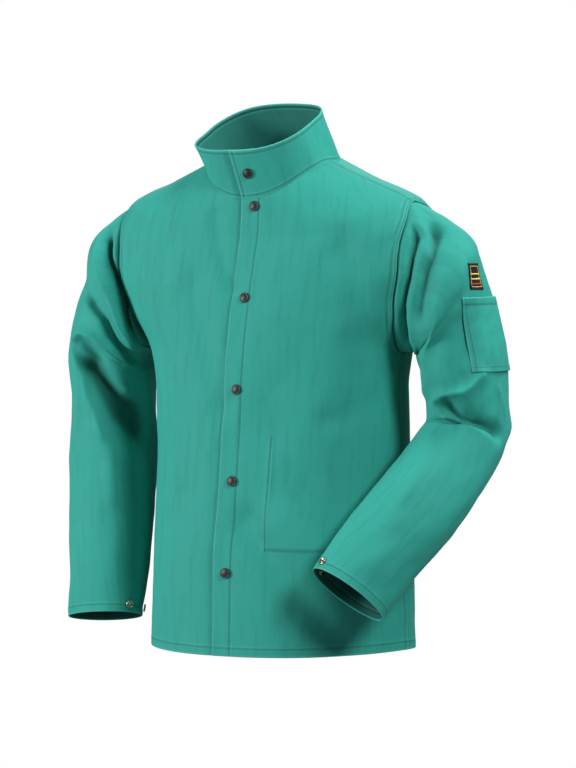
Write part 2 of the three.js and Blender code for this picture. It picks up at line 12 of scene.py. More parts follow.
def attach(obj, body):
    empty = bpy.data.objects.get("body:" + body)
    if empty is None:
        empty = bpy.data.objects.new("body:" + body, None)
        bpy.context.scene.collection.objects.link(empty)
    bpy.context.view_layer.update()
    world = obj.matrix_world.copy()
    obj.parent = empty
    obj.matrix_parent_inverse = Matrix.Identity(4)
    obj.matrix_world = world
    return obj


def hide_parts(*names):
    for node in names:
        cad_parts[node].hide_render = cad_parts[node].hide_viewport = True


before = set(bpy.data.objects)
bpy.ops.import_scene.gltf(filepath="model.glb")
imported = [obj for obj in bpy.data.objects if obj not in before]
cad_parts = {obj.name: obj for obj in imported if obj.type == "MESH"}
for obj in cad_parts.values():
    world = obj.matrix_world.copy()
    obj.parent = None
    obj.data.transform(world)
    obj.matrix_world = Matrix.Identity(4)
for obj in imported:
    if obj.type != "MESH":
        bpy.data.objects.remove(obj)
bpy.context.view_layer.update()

# Sizes of the jacket
BODY_LENGTH = 0.731
UNDERARM_DROP = 0.345
HEM_WIDTH = 0.412
CHEST_WIDTH = 0.406
SHOULDER_WIDTH = 0.480
BODY_DEPTH = 0.290
LAP_WIDTH = 0.043
NECK_WIDTH = 0.200
NECK_DEPTH = 0.160
COLLAR_HEIGHT = 0.062
COLLAR_TILT = math.radians(25)
SLEEVE_LENGTH = 0.560
SLEEVE_WIDTH = 0.184
BESIDE_BODY = 0.25 * CHEST_WIDTH + 0.2465 * HEM_WIDTH

# Cloth, layers and clearances
CLOTH = 0.0015
COLLAR_CLOTH = 0.0024
LAP_GAP = 0.0005
TURNED_CLOTH = 0.0006
COLLAR_OVER_BODY = 0.0012
PATCH_GAP = 0.0004

# Seams and hems
HEM_WIDTH_TURNED = 0.013
FACING_WIDTH = 0.030
SEAM_WIDTH = 0.0085
FIRST_ROW = 0.0018
SECOND_ROW = 0.0078
CUFF_HEM = 0.012
COLLAR_EDGE = 0.006
HEM_ROW = 0.0012
PUCKER_REACH = 0.006
GROOVE_WIDTH = 0.0013
GROOVE_DEPTH = 0.00055
BESIDE_GROOVE = 0.0024
STITCH_LENGTH = 0.0031
STITCH_SPACING = 0.0038
THREAD = 0.00042

# Pockets, badge and snaps
SLEEVE_POCKET = (0.104, 0.108)
SLEEVE_POCKET_AT = (14, 0.745)
SLEEVE_POCKET_HEM = 0.012
BADGE = (0.028, 0.038)
BADGE_AT = (28, 0.50)
BADGE_THICKNESS = 0.0012
BADGE_STITCH = 0.0009
BADGE_BARS = (0.22, 0.42, 0.62)
BADGE_BAR_RADIUS = 0.0013
INSIDE_POCKET = (0.110, 0.165)
INSIDE_POCKET_FROM_EDGE = 0.080
INSIDE_POCKET_ABOVE_HEM = 0.158
BAG_GAP = 0.0026
SNAP_COUNT = 5
FIRST_SNAP_BELOW_SEAM = 0.014
LAST_SNAP_ABOVE_HEM = 0.122
CAP_DIAMETER = 0.0155
CAP_HEIGHT = 0.0032
STUD_DIAMETER = 0.012
STUD_HEIGHT = 0.0016
CUFF_SNAP_DIAMETER = 0.0125
CUFF_SNAP_HEIGHT = 0.0024
CUFF_SNAP_AROUND = 184
CUFF_SNAP_SPACING = 0.044
CUFF_SNAP_ABOVE_EDGE = 0.012
SEAT_GAP = 0.0003
BEHIND_LAP = 0.0002

# Sections of the body, hem first: the falls of its side, front and back, the width that it follows
# and its own half width as a share of it, the depths of its side, front and back lines as shares of
# the body's depth, the place of the snaps' line as a share of the chest's width, and how square it is.
# A fall is 0 at the neck level, 1 at the underarm and 2 at the hem.
SECTION_SHARES = [
    (1.985, 2.000, 1.995, HEM_WIDTH, 0.497, 0.000, -0.614, 0.386, -0.010, 2.3),
    (1.650, 1.650, 1.650, HEM_WIDTH, 0.490, 0.000, -0.607, 0.366, -0.010, 2.3),
    (1.320, 1.320, 1.320, CHEST_WIDTH, 0.490, 0.000, -0.569, 0.345, 0.002, 2.3),
    (1.000, 1.000, 1.000, CHEST_WIDTH, 0.486, -0.017, -0.545, 0.345, 0.008, 2.4),
    (0.830, 0.830, 0.826, CHEST_WIDTH, 0.502, -0.034, -0.528, 0.359, 0.013, 2.5),
    (0.638, 0.652, 0.623, SHOULDER_WIDTH, 0.495, -0.069, -0.503, 0.372, 0.020, 2.7),
    (0.435, 0.522, 0.406, SHOULDER_WIDTH, 0.538, -0.103, -0.479, 0.359, 0.026, 2.9),
    (0.285, 0.406, 0.256, SHOULDER_WIDTH, 0.530, -0.124, -0.455, 0.303, 0.032, 2.9),
    (0.182, 0.325, 0.146, SHOULDER_WIDTH, 0.490, -0.131, -0.438, 0.241, 0.036, 2.8),
    (0.090, 0.245, 0.048, SHOULDER_WIDTH, 0.346, -0.145, -0.434, 0.179, 0.038, 2.5),
]
NECK_MIDDLE = -0.155 * BODY_DEPTH
NECK_SECTION = (
    0.006, 0.162, -0.058, 0.5 * NECK_WIDTH, NECK_MIDDLE, NECK_MIDDLE - 0.5 * NECK_DEPTH,
    NECK_MIDDLE + 0.5 * NECK_DEPTH, 0.039 * CHEST_WIDTH, 2.2,
)
UNDERARM_ROW = 4
SHOULDER_ROW = 8
NECK_ROW = 10
ARMHOLE_FRONT = math.radians(33)
ARMHOLE_BACK = math.radians(40)
SLOPE_OF_LEVELS = 2.2

# Stations of a sleeve, shoulder first: its fall, the share of the sleeve's length below the underarm,
# its place out past the body and its depth, the way its outer side faces and that side's lift in
# degrees, half its thickness and breadth, and how square it is
LEFT_STATIONS = [
    (0.575, 0.000, 0.365, -0.065, 5, 62, 0.520, 0.445, 2.1),
    (0.655, 0.000, 0.415, -0.030, 5, 48, 0.430, 0.415, 2.1),
    (0.745, 0.000, 0.450, 0.000, 6, 34, 0.375, 0.400, 2.1),
    (0.905, 0.000, 0.510, 0.020, 8, 16, 0.335, 0.405, 2.1),
    (1.000, 0.062, 0.520, 0.040, 10, 0, 0.315, 0.390, 2.2),
    (1.000, 0.148, 0.470, -0.010, 16, -16, 0.345, 0.370, 2.2),
    (1.000, 0.291, 0.310, -0.265, 22, -32, 0.365, 0.330, 2.1),
    (1.000, 0.412, 0.130, -0.465, 25, -36, 0.350, 0.280, 2.1),
    (1.000, 0.512, 0.000, -0.617, 25, -36, 0.335, 0.230, 2.0),
]
RIGHT_STATIONS = [
    (0.575, 0.000, 0.290, -0.120, -5, 62, 0.520, 0.480, 2.2),
    (0.661, 0.000, 0.320, -0.120, -5, 48, 0.420, 0.450, 2.2),
    (0.745, 0.000, 0.405, -0.115, -5, 34, 0.375, 0.440, 2.2),
    (0.890, 0.000, 0.465, -0.110, -5, 14, 0.345, 0.430, 2.2),
    (1.000, 0.040, 0.470, -0.105, -5, 0, 0.330, 0.400, 2.2),
    (1.000, 0.190, 0.450, -0.125, -5, -3, 0.350, 0.365, 2.2),
    (1.000, 0.330, 0.420, -0.172, -2, -5, 0.360, 0.325, 2.1),
    (1.000, 0.473, 0.385, -0.235, 0, -6, 0.345, 0.290, 2.1),
    (1.000, 0.615, 0.370, -0.290, 2, -6, 0.325, 0.250, 2.0),
]

# Folds: the places that the crest runs through, its width and rise as shares, and for some its lean,
# which makes one side steeper than the other, and how crisp its crest is. A negative rise is a valley.
# On a sleeve a place is a ring and an angle in degrees, 0 on the outer side and 90 in front, and the
# shares are of the sleeve's width.
LEFT_SLEEVE_FOLDS = [
    (((0.20, 50), (0.23, 63), (0.25, 89), (0.23, 100), (0.30, 123), (0.50, 145), (0.9, 160)),
     0.040, -0.120, 0.0, 0.6),
    (((0.20, 30), (0.33, 58), (0.36, 85), (0.37, 112), (0.62, 136), (1.2, 155)), 0.040, 0.034, 0.0, 0.6),
    (((0.45, 32), (0.56, 58), (0.54, 76), (0.60, 98), (0.70, 110)), 0.066, -0.115, 0.0, 0.3),
    (((0.66, 50), (0.72, 66), (0.72, 92), (0.76, 114)), 0.070, 0.030),
    (((0.28, 14), (0.36, 24)), 0.035, -0.018),
    (((1.6, 35), (4.0, 70)), 0.120, -0.025),
    (((0.9, 100), (2.2, 108), (4.2, 138)), 0.090, 0.035),
    (((4.52, 116), (4.44, 104), (4.42, 90), (4.42, 70), (4.33, 59), (4.15, 44)), 0.060, 0.048, 0.25, 0.8),
    (((4.74, 98), (5.06, 80), (5.26, 61), (5.46, 26)), 0.085, -0.080),
    (((4.90, 110), (5.45, 98)), 0.075, 0.022),
    (((4.40, 22), (4.95, 2)), 0.030, 0.018, 0.0, 1.0),
    (((6.2, 120), (6.9, 112), (7.5, 96)), 0.110, 0.020),
    (((6.6, 20), (8.2, 80)), 0.160, 0.020),
    (((5.0, 250), (5.4, 290), (5.2, 330)), 0.090, 0.030),
    (((1.2, 250), (3.0, 230)), 0.100, -0.040),
]
RIGHT_SLEEVE_FOLDS = [
    (((0.48, 48), (0.55, 70), (0.48, 84), (0.34, 100), (0.34, 110), (0.6, 121), (0.9, 135)),
     0.052, -0.130, 0.0, 0.4),
    (((0.82, 58), (0.83, 78), (0.70, 102), (0.92, 118), (1.5, 130), (2.4, 140)), 0.070, 0.040),
    (((2.02, 72), (2.02, 98), (2.58, 116), (3.05, 130), (3.40, 140)), 0.075, -0.070),
    (((3.50, 64), (3.22, 74), (3.12, 90), (3.18, 112), (3.40, 129), (3.60, 141)), 0.060, 0.080, 0.25, 0.7),
    (((3.9, 172), (5.2, 178)), 0.090, 0.030),
    (((4.02, 92), (4.38, 106), (5.03, 128), (5.38, 158)), 0.150, -0.165),
    (((3.60, 76), (3.96, 98), (4.38, 122), (4.83, 153)), 0.060, 0.036),
    (((3.75, 58), (4.38, 74), (4.88, 82), (5.40, 98), (5.62, 104)), 0.060, 0.036, 0.0, 1.0),
    (((5.60, 96), (6.10, 112), (6.80, 118)), 0.090, 0.026),
    (((5.36, 142), (5.58, 156), (6.2, 163)), 0.040, 0.022),
    (((5.75, 126), (6.30, 146)), 0.026, 0.012, 0.0, 1.0),
    (((6.4, 140), (7.2, 152), (8.2, 150)), 0.100, -0.035),
    (((1.2, 250), (3.2, 225)), 0.100, -0.040),
    (((4.2, 240), (4.6, 290)), 0.090, 0.030),
]

# On the body a place is a share of the chest's width from the middle and a fall, and the width and
# rise are shares of the body's depth
FRONT_FOLDS = [
    (((-0.20, 0.55), (-0.07, 1.05)), 0.08, -0.020),
    (((-0.13, 0.24), (-0.10, 0.39), (-0.04, 0.55)), 0.045, -0.014),
    (((-0.35, 0.26), (-0.34, 0.50)), 0.030, -0.008),
    (((-0.42, 0.42), (-0.36, 0.66), (-0.30, 0.86)), 0.035, -0.010),
    (((0.33, 0.60), (0.14, 1.10)), 0.16, -0.022),
    (((0.40, 0.40), (0.46, 0.56), (0.46, 0.74)), 0.09, -0.030),
    (((0.36, 1.10), (0.45, 1.04)), 0.06, -0.016),
    (((0.06, 1.50), (0.19, 1.66), (0.29, 1.81), (0.40, 1.95)), 0.09, -0.030),
    (((0.22, 1.50), (0.33, 1.64), (0.46, 1.76)), 0.11, 0.022),
    (((-0.40, 1.20), (-0.36, 1.60)), 0.08, -0.012),
]
BACK_FOLDS = [
    (((-0.42, 0.62), (-0.22, 1.00), (-0.18, 1.30)), 0.10, -0.014, 0.2, 0.0),
    (((0.42, 0.62), (0.24, 0.98), (0.16, 1.34)), 0.10, -0.015, -0.2, 0.0),
    (((-0.30, 1.42), (0.05, 1.52), (0.34, 1.46)), 0.09, 0.010),
    (((-0.10, 0.30), (0.10, 0.31)), 0.12, 0.008),
]

# The collar's rim
RIM_HALF_WIDTH = 0.470 * NECK_WIDTH
RIM_HALF_DEPTH = 0.480 * NECK_DEPTH
RIM_ACROSS = -0.068 * NECK_WIDTH
RIM_DEPTH = NECK_MIDDLE - 0.115 * NECK_DEPTH
RIM_HEIGHT = 0.77 * COLLAR_HEIGHT
RIM_SLANT = 0.16 * COLLAR_HEIGHT
RIM_CORNER = 2.4

# Rows of the body's panels: their usual lengths, and how much of an end keeps its spacing in a
# shorter row
FRONT_ROW = 0.265
BACK_ROW = 0.50
KEPT_SPACING = 0.016

# Rubbed edges and painted light in the cloth's colour: above 0 it is paler, at rubbed edges and with a
# painted highlight beside stitch grooves; below 0 it is darker, with painted shade
EDGE_WEAR = 0.6
EDGE_WEAR_WIDTH = 0.0014
SEAM_WEAR = 0.7
# Painted shade darkens the cloth in the grooves of rows of stitches
GROOVE_PAINTED_SHADE = -0.55
# A painted highlight makes the cloth paler beside each stitch groove
BESIDE_GROOVE_PAINTED_HIGHLIGHT = 0.30
# Painted shade darkens the hollows of the sleeves' folds
HOLLOW_PAINTED_SHADE = -0.68
# Painted shade darkens the inner faces of the sleeves and the collar
SLEEVE_INSIDE_PAINTED_SHADE = 0.80
COLLAR_INSIDE_PAINTED_SHADE = 0.65

# Spacings of the grids' points, fine beside seams and edges, and other measures of the modelling
FINE = 0.0013
COARSE = 0.0040
HALVINGS = 24
TURN = 2 * math.pi


# Curves through rows of numbers

def steady_slopes(rows):
    steps = np.diff(rows, axis=0)
    product = steps[:-1] * steps[1:]
    total = np.where(product > 0, steps[:-1] + steps[1:], 1)
    inner = np.where(product > 0, 2 * product / total, 0)
    return np.concatenate([steps[:1], inner, steps[-1:]])


def flowing_slopes(rows):
    inner = 0.5 * (rows[2:] - rows[:-2])
    return np.concatenate([rows[1:2] - rows[:1], inner, rows[-1:] - rows[-2:-1]])


def row_at(rows, slopes, level):
    """The row at a level between rows. The rows are the same everywhere or differ from place to place."""
    level = np.asarray(level, float)
    index = np.clip(np.floor(level).astype(int), 0, len(rows) - 2)

    def pick(table, at):
        if table.ndim == 2:
            return table[at]
        return np.take_along_axis(table, at[None, ..., None], axis=0)[0]

    t = (level - index)[..., None]
    start = pick(rows, index)
    end = pick(rows, index + 1)
    first = pick(slopes, index) * t * (1 - t) ** 2
    second = pick(slopes, index + 1) * t ** 2 * (1 - t)
    return start + (end - start) * t * t * (3 - 2 * t) + first - second


def smooth(low, high, value):
    t = np.clip((value - low) / (high - low), 0, 1)
    return t * t * (3 - 2 * t)


def mix(a, b, share):
    return a + (b - a) * share


def unit(vectors):
    return vectors / np.linalg.norm(vectors, axis=-1, keepdims=True)


def fold_rise(folds, a, b):
    """The height at places a, b of folds whose points, width and rise are in metres."""
    rise = np.zeros(np.broadcast(a, b).shape)
    for points, width, height, lean, crisp in folds:
        nearest = np.full(rise.shape, np.inf)
        side = np.zeros(rise.shape)
        for (a0, b0), (a1, b1) in zip(points, points[1:]):
            da = a1 - a0
            db = b1 - b0
            t = np.clip(((a - a0) * da + (b - b0) * db) / (da * da + db * db), 0, 1)
            distance = np.hypot(a - a0 - t * da, b - b0 - t * db)
            closer = distance < nearest
            nearest = np.where(closer, distance, nearest)
            side = np.where(closer, np.sign(da * (b - b0) - db * (a - a0)), side)
        away = nearest / (width * (1 + lean * side))
        rise += height * mix(np.exp(-away ** 2), np.exp(-1.6 * away), crisp)
    return rise


def ripple(points, seed, size):
    """A gentle unevenness between -1 and 1 with features of a size, the same each time."""
    random = np.random.default_rng(seed)
    waves = 9
    total = np.zeros(points.shape[:-1])
    for _ in range(waves):
        direction = unit(random.normal(size=3)) * random.uniform(0.6, 1.6) * TURN / size
        total += np.sin(points @ direction + random.uniform(0, TURN))
    return total / math.sqrt(waves)


# Surfaces

def height_of(fall):
    above = np.minimum(fall, 1)
    below = np.maximum(fall - 1, 0)
    return -above * UNDERARM_DROP - below * (BODY_LENGTH - UNDERARM_DROP)


def body_sections():
    rows = [
        (side, front, back, half * width, side_at * BODY_DEPTH, front_at * BODY_DEPTH,
         back_at * BODY_DEPTH, line * CHEST_WIDTH, corner)
        for side, front, back, width, half, side_at, front_at, back_at, line, corner in SECTION_SHARES
    ]
    return np.array([*rows, NECK_SECTION])


SECTIONS = body_sections()
SECTION_SLOPES = steady_slopes(SECTIONS)


def roundness(angle, corner):
    return (np.abs(np.cos(angle)) ** corner + np.abs(np.sin(angle)) ** corner) ** (-1 / corner)


def bare_body_point(level, angle):
    """Level 0 is the hem, angle 0 the wearer's left side and -90 degrees the front."""
    section = np.moveaxis(row_at(SECTIONS, SECTION_SLOPES, level), -1, 0)
    side_fall, front_fall, back_fall, half_width, side_depth, front_depth, back_depth, _, corner = section
    radius = roundness(angle, corner)
    reach = np.abs(np.sin(angle)) * radius
    in_front = np.sin(angle) < 0
    depth = np.where(in_front, front_depth, back_depth)
    fall = np.where(in_front, front_fall, back_fall)
    return np.stack([
        half_width * np.cos(angle) * radius,
        side_depth + (depth - side_depth) * reach,
        height_of(side_fall + (fall - side_fall) * reach ** SLOPE_OF_LEVELS),
    ], axis=-1)


def in_metres(folds, place, size):
    """Folds with their places as lengths along the surface and their shares of a size as lengths."""
    return [
        ([place(*point) for point in points], width * size, rise * size, *(shape or (0.0, 0.0)))
        for points, width, rise, *shape in folds
    ]


def body_fold_place(across, fall):
    return across * CHEST_WIDTH, float(height_of(fall))


BODY_FRONT_FOLDS = in_metres(FRONT_FOLDS, body_fold_place, BODY_DEPTH)
BODY_BACK_FOLDS = in_metres(BACK_FOLDS, body_fold_place, BODY_DEPTH)


def body_point(level, angle):
    level, angle = np.broadcast_arrays(np.asarray(level, float), np.asarray(angle, float))
    point = bare_body_point(level, angle)
    facing = np.sin(angle)
    front = fold_rise(BODY_FRONT_FOLDS, point[..., 0], point[..., 2])
    back = fold_rise(BODY_BACK_FOLDS, point[..., 0], point[..., 2])
    top = smooth(NECK_ROW, NECK_ROW - 1, level)
    point[..., 1] += (back * smooth(0, 0.3, facing) - front * smooth(0, 0.3, -facing)) * top
    return point


def front_angle(level, from_snap_line):
    section = row_at(SECTIONS, SECTION_SLOPES, level)
    across = (section[..., 7] + from_snap_line) / section[..., 3]
    corner = section[..., 8]
    reach = (1 - np.abs(across) ** corner) ** (1 / corner)
    return np.arctan2(-reach, across)


ARMHOLE_MIDDLE = (SHOULDER_ROW + UNDERARM_ROW) / 2
ARMHOLE_REACH = (SHOULDER_ROW - UNDERARM_ROW) / 2


def armhole_level(around):
    return ARMHOLE_MIDDLE + ARMHOLE_REACH * np.cos(around)


def armhole_angle(side, around):
    """The angle on the body of a place on the armhole: turn 0 is its top, 90 degrees its front."""
    swing = -np.sin(around) * np.where(np.sin(around) > 0, ARMHOLE_FRONT, ARMHOLE_BACK)
    return swing if side > 0 else math.pi - swing


def armhole_point(side, around):
    return body_point(armhole_level(around), armhole_angle(side, around))


class Sleeve:
    """The surface of a sleeve: rings from the armhole, 0, to the cuff, and angles around them."""

    def __init__(self, side, stations, folds):
        self.side = side
        self.last = len(stations)
        rows = np.array(stations, float)
        fall, below, out, depth, facing, lift, thick, broad, corner = rows.T
        self.centres = np.stack([
            side * (BESIDE_BODY + out * SLEEVE_WIDTH),
            depth * BODY_DEPTH,
            height_of(fall) - below * SLEEVE_LENGTH,
        ], axis=-1)
        before = self.centres[[max(i - 1, 0) for i in range(self.last)]]
        after = self.centres[[min(i + 1, self.last - 1) for i in range(self.last)]]
        facing = np.radians(facing)
        lift = np.radians(lift)
        self.outer = np.stack([
            side * np.cos(facing) * np.cos(lift), np.sin(facing) * np.cos(lift), np.sin(lift),
        ], axis=-1)
        self.front = unit(np.cross(unit(after - before), self.outer)) * side
        self.thick = thick * SLEEVE_WIDTH
        self.broad = broad * SLEEVE_WIDTH
        self.corner = corner
        self.along_step = SLEEVE_LENGTH / self.last
        self.around_step = 0.45 * SLEEVE_WIDTH
        self.folds = in_metres(folds, self.fold_place, SLEEVE_WIDTH)

    def fold_place(self, ring, degrees):
        return ring * self.along_step, math.radians(degrees) * self.around_step

    def bare(self, ring, around):
        """The surface without its folds."""
        ring, around = np.broadcast_arrays(np.asarray(ring, float), np.asarray(around, float))
        rows = [armhole_point(self.side, around)]
        for i in range(self.last):
            radius = roundness(around, self.corner[i])
            outwards = (self.thick[i] * np.cos(around) * radius)[..., None] * self.outer[i]
            forwards = (self.broad[i] * np.sin(around) * radius)[..., None] * self.front[i]
            rows.append(self.centres[i] + outwards + forwards)
        rows = np.array(rows)
        return row_at(rows, flowing_slopes(rows), ring)

    def rise(self, ring, around):
        """How far the folds stand out. Angles are from 0 to a whole turn."""
        along = ring * self.along_step
        rise = fold_rise(self.folds, along, around * self.around_step)
        rise += fold_rise(self.folds, along, (around - TURN) * self.around_step)
        return rise * smooth(0.02, 0.2, ring) * smooth(self.last, self.last - 0.8, ring)

    def point(self, ring, around):
        ring, around = np.broadcast_arrays(np.asarray(ring, float), np.asarray(around, float) % TURN)
        here = self.bare(ring, around)
        outwards = unit(here - self.bare(ring, around + math.pi))
        return here + outwards * self.rise(ring, around)[..., None]


left_arm = Sleeve(1, LEFT_STATIONS, LEFT_SLEEVE_FOLDS)
right_arm = Sleeve(-1, RIGHT_STATIONS, RIGHT_SLEEVE_FOLDS)


def collar_point(level, angle):
    """Level 0 is the neck seam and 1 the rim."""
    level, angle = np.broadcast_arrays(np.asarray(level, float), np.asarray(angle, float))
    radius = roundness(angle, RIM_CORNER)
    forward = RIM_HALF_DEPTH * np.sin(angle) * radius
    rim = np.stack([
        RIM_ACROSS + RIM_HALF_WIDTH * np.cos(angle) * radius,
        RIM_DEPTH + forward,
        RIM_HEIGHT + math.tan(COLLAR_TILT) * forward + RIM_SLANT * np.cos(angle) ** 3,
    ], axis=-1)
    seam = body_point(np.full(angle.shape, NECK_ROW), angle)
    return mix(seam, rim, level[..., None])


# Grids

class Grid:
    """A sheet of points in rows and columns, its normals on its outer side and the lengths along it."""

    def __init__(self, points, outward, closed=False):
        self.closed = closed
        self.points = points
        self.turned = 1
        self.measure()
        if np.sum(self.normals * outward) < 0:
            self.turned = -1
            self.normals = -self.normals
        self.across = self.lengths(1)
        self.along = self.lengths(0)
        self.wear_and_painted_light = np.zeros(points.shape[:2])
        self.nearest = None

    def measure(self):
        points = self.points
        if self.closed:
            across = np.roll(points, -1, axis=1) - np.roll(points, 1, axis=1)
        else:
            across = np.gradient(points, axis=1)
        self.normals = unit(np.cross(across, np.gradient(points, axis=0))) * self.turned

    def lengths(self, axis):
        steps = np.linalg.norm(np.diff(self.points, axis=axis), axis=-1)
        start = np.zeros_like(steps[:, :1] if axis == 1 else steps[:1])
        return np.concatenate([start, np.cumsum(steps, axis=axis)], axis=axis)

    def push(self, rise):
        """Moves each point out by a rise."""
        self.points = self.points + self.normals * rise[..., None]
        self.measure()

    def tree(self):
        """The grid's points arranged for finding the nearest one, made once the surface is final."""
        if self.nearest is None:
            flat = self.points.reshape(-1, 3)
            self.nearest = KDTree(len(flat))
            for i, point in enumerate(flat):
                self.nearest.insert(point, i)
            self.nearest.balance()
        return self.nearest

    def rail(self, distance, from_end=False):
        """The line that keeps a distance from the first or the last column."""
        return self._line(self.points, self.across, distance, from_end)

    def contour(self, distance, from_end=False):
        """The line that keeps a distance from the first or the last row."""
        return self._line(self.points.swapaxes(0, 1), self.along.T, distance, from_end)

    @staticmethod
    def _line(points, lengths, distance, from_end):
        line = []
        for row, length in zip(points, lengths):
            at = length[-1] - distance if from_end else distance
            line.append([np.interp(at, length, row[:, k]) for k in range(3)])
        return np.array(line)


def stops(length, marks, fine=FINE, coarse=COARSE, reach=0.0045):
    """Shares of a length, closely spaced beside the marks and wider apart elsewhere."""
    places = [0.0]
    while places[-1] < length:
        near = min(abs(places[-1] - mark) for mark in marks)
        places.append(places[-1] + mix(fine, coarse, float(smooth(reach, 3 * reach, near))))
    places = np.array(places)
    return places / places[-1]


def nearest_distance(points, line):
    """The distance from each point to a line of points."""
    flat = points.reshape(-1, 3)
    start = line[:-1]
    step = line[1:] - start
    size = np.maximum(np.sum(step * step, axis=1), 1e-12)
    result = np.empty(len(flat))
    for low in range(0, len(flat), 4000):
        part = flat[low:low + 4000, None, :] - start
        t = np.clip(np.sum(part * step, axis=2) / size, 0, 1)
        result[low:low + 4000] = np.linalg.norm(part - t[..., None] * step, axis=2).min(axis=1)
    return result.reshape(points.shape[:-1])


ALL_ROUND = np.linspace(0, TURN, 220)
ARMHOLES = {side: armhole_point(side, ALL_ROUND) for side in (1, -1)}
NECK_SEAM = body_point(NECK_ROW, ALL_ROUND)


def side_seams(side):
    """The lines of the side seam and the shoulder seam."""
    angle = 0.0 if side > 0 else math.pi
    levels = (np.linspace(0, UNDERARM_ROW, 120), np.linspace(SHOULDER_ROW, NECK_ROW, 60))
    return [body_point(level, angle) for level in levels]


def body_levels():
    """Levels of a panel's rows at its side and in its middle, and the turns on the armhole that they meet."""
    lower = UNDERARM_ROW * stops(0.46, [0, HEM_WIDTH_TURNED])
    around = np.linspace(math.pi, 0, int(0.30 / COARSE))
    upper = SHOULDER_ROW + (NECK_ROW - SHOULDER_ROW) * stops(0.13, [0.13])
    side = np.concatenate([lower[:-1], armhole_level(around), upper[1:]])
    even = np.linspace(UNDERARM_ROW, SHOULDER_ROW, len(around))
    middle = np.concatenate([lower[:-1], even, upper[1:]])
    turns = np.concatenate([np.full(len(lower) - 1, math.pi), around, np.zeros(len(upper) - 1)])
    return side[:, None], middle[:, None], turns[:, None]


def groove(distance):
    """The dent that a row of stitches draws in the cloth, from 0 to 1."""
    return np.exp(-(distance / GROOVE_WIDTH) ** 2)


def sew(grid, distance, *rows):
    """Sinks the cloth under rows of stitches that keep distances from an edge or a seam, paints shade into
    the groove and paints a highlight beside it.
    """
    sunk = np.max([groove(distance - row) for row in rows], axis=0)
    beside = np.max([groove(distance - row - BESIDE_GROOVE) for row in rows], axis=0)
    # Painted shade in the groove, and a painted highlight on the cloth beside it
    grid.wear_and_painted_light += GROOVE_PAINTED_SHADE * sunk + BESIDE_GROOVE_PAINTED_HIGHLIGHT * beside
    return -GROOVE_DEPTH * sunk


def seam_band(distance):
    """The rise of a felled seam, a band of folded cloth."""
    return TURNED_CLOTH * smooth(SEAM_WIDTH + 0.0012, SEAM_WIDTH - 0.0004, distance)


def hem_band(distance, width):
    """The rise of a turned hem."""
    return TURNED_CLOTH * smooth(width + 0.0016, width - 0.0006, distance)


def pucker(distance, along, reach, seed, points):
    """Small waves in the cloth beside a row of stitches."""
    phase = 2.2 * ripple(points, seed, 0.05)
    wave = np.sin(TURN * along / 0.0115 + phase)
    return 0.00011 * wave * np.exp(-(distance / reach) ** 2)


def edge_wear(distance):
    return np.exp(-(distance / EDGE_WEAR_WIDTH) ** 2)


def turn_hem(grid, distance, along, width, seed):
    """The rise of a turned hem with its row of stitches and the small waves beside it."""
    rise = hem_band(distance, width) + sew(grid, distance, width - HEM_ROW)
    return rise + pucker(distance - width, along, PUCKER_REACH, seed, grid.points)


def fitted_shares(surface, places, kept):
    """Shares across each row of a panel, whose first and last places keep their distances from its ends."""
    even = np.linspace(0, 1, 60)
    steps = np.linalg.norm(np.diff(surface(even[None, :]), axis=1), axis=-1)
    lengths = np.concatenate([np.zeros((len(steps), 1)), np.cumsum(steps, axis=1)], axis=1)
    total = lengths[:, -1:]
    usual = places[-1]
    first, last = kept
    middle = first + (places - first) * (total - first - last) / (usual - first - last)
    fitted = np.where(places > usual - last, total - usual + places, middle)
    fitted = np.where(places < first, places, fitted)
    return np.array([np.interp(row, length, even) for row, length in zip(fitted, lengths)])


def end_angles(side, levels, turns):
    """The angles of the rows' ends at a side of the body: on the armhole, or on the seams beside it."""
    on_seam = (levels < UNDERARM_ROW) | (levels > SHOULDER_ROW)
    return np.where(on_seam, 0.0 if side > 0 else math.pi, armhole_angle(side, turns))


def panel_grid(angles, levels, sideways, places, kept):
    """A panel of the body, from the angles of its rows' ends, their levels in its middle and at its side,
    and how far sideways each share of a row lies."""
    def surface(shares):
        return body_point(mix(*levels, sideways(shares)), mix(*angles, shares))

    points = surface(fitted_shares(surface, places, kept))
    return Grid(points, points - np.array([0, NECK_MIDDLE, 0]))


def front_grid(side):
    """A front panel: columns from its free edge to the side, rows from the hem to the neck."""
    side_levels, middle_levels, turns = body_levels()
    free = front_angle(middle_levels, -side * 0.5 * LAP_WIDTH) + (TURN if side < 0 else 0)
    angles = (free, end_angles(side, side_levels, turns))
    places = FRONT_ROW * stops(FRONT_ROW, [0, FACING_WIDTH, INSIDE_POCKET_FROM_EDGE, FRONT_ROW])
    kept = (INSIDE_POCKET_FROM_EDGE + KEPT_SPACING, KEPT_SPACING)
    return panel_grid(angles, (middle_levels, side_levels), lambda shares: shares, places, kept)


def back_grid():
    side_levels, middle_levels, turns = body_levels()
    angles = (end_angles(1, side_levels, -turns), end_angles(-1, side_levels, -turns))
    places = BACK_ROW * stops(BACK_ROW, [0, BACK_ROW])
    kept = (KEPT_SPACING, KEPT_SPACING)
    levels = (middle_levels, side_levels)
    return panel_grid(angles, levels, lambda shares: np.abs(2 * shares - 1), places, kept)


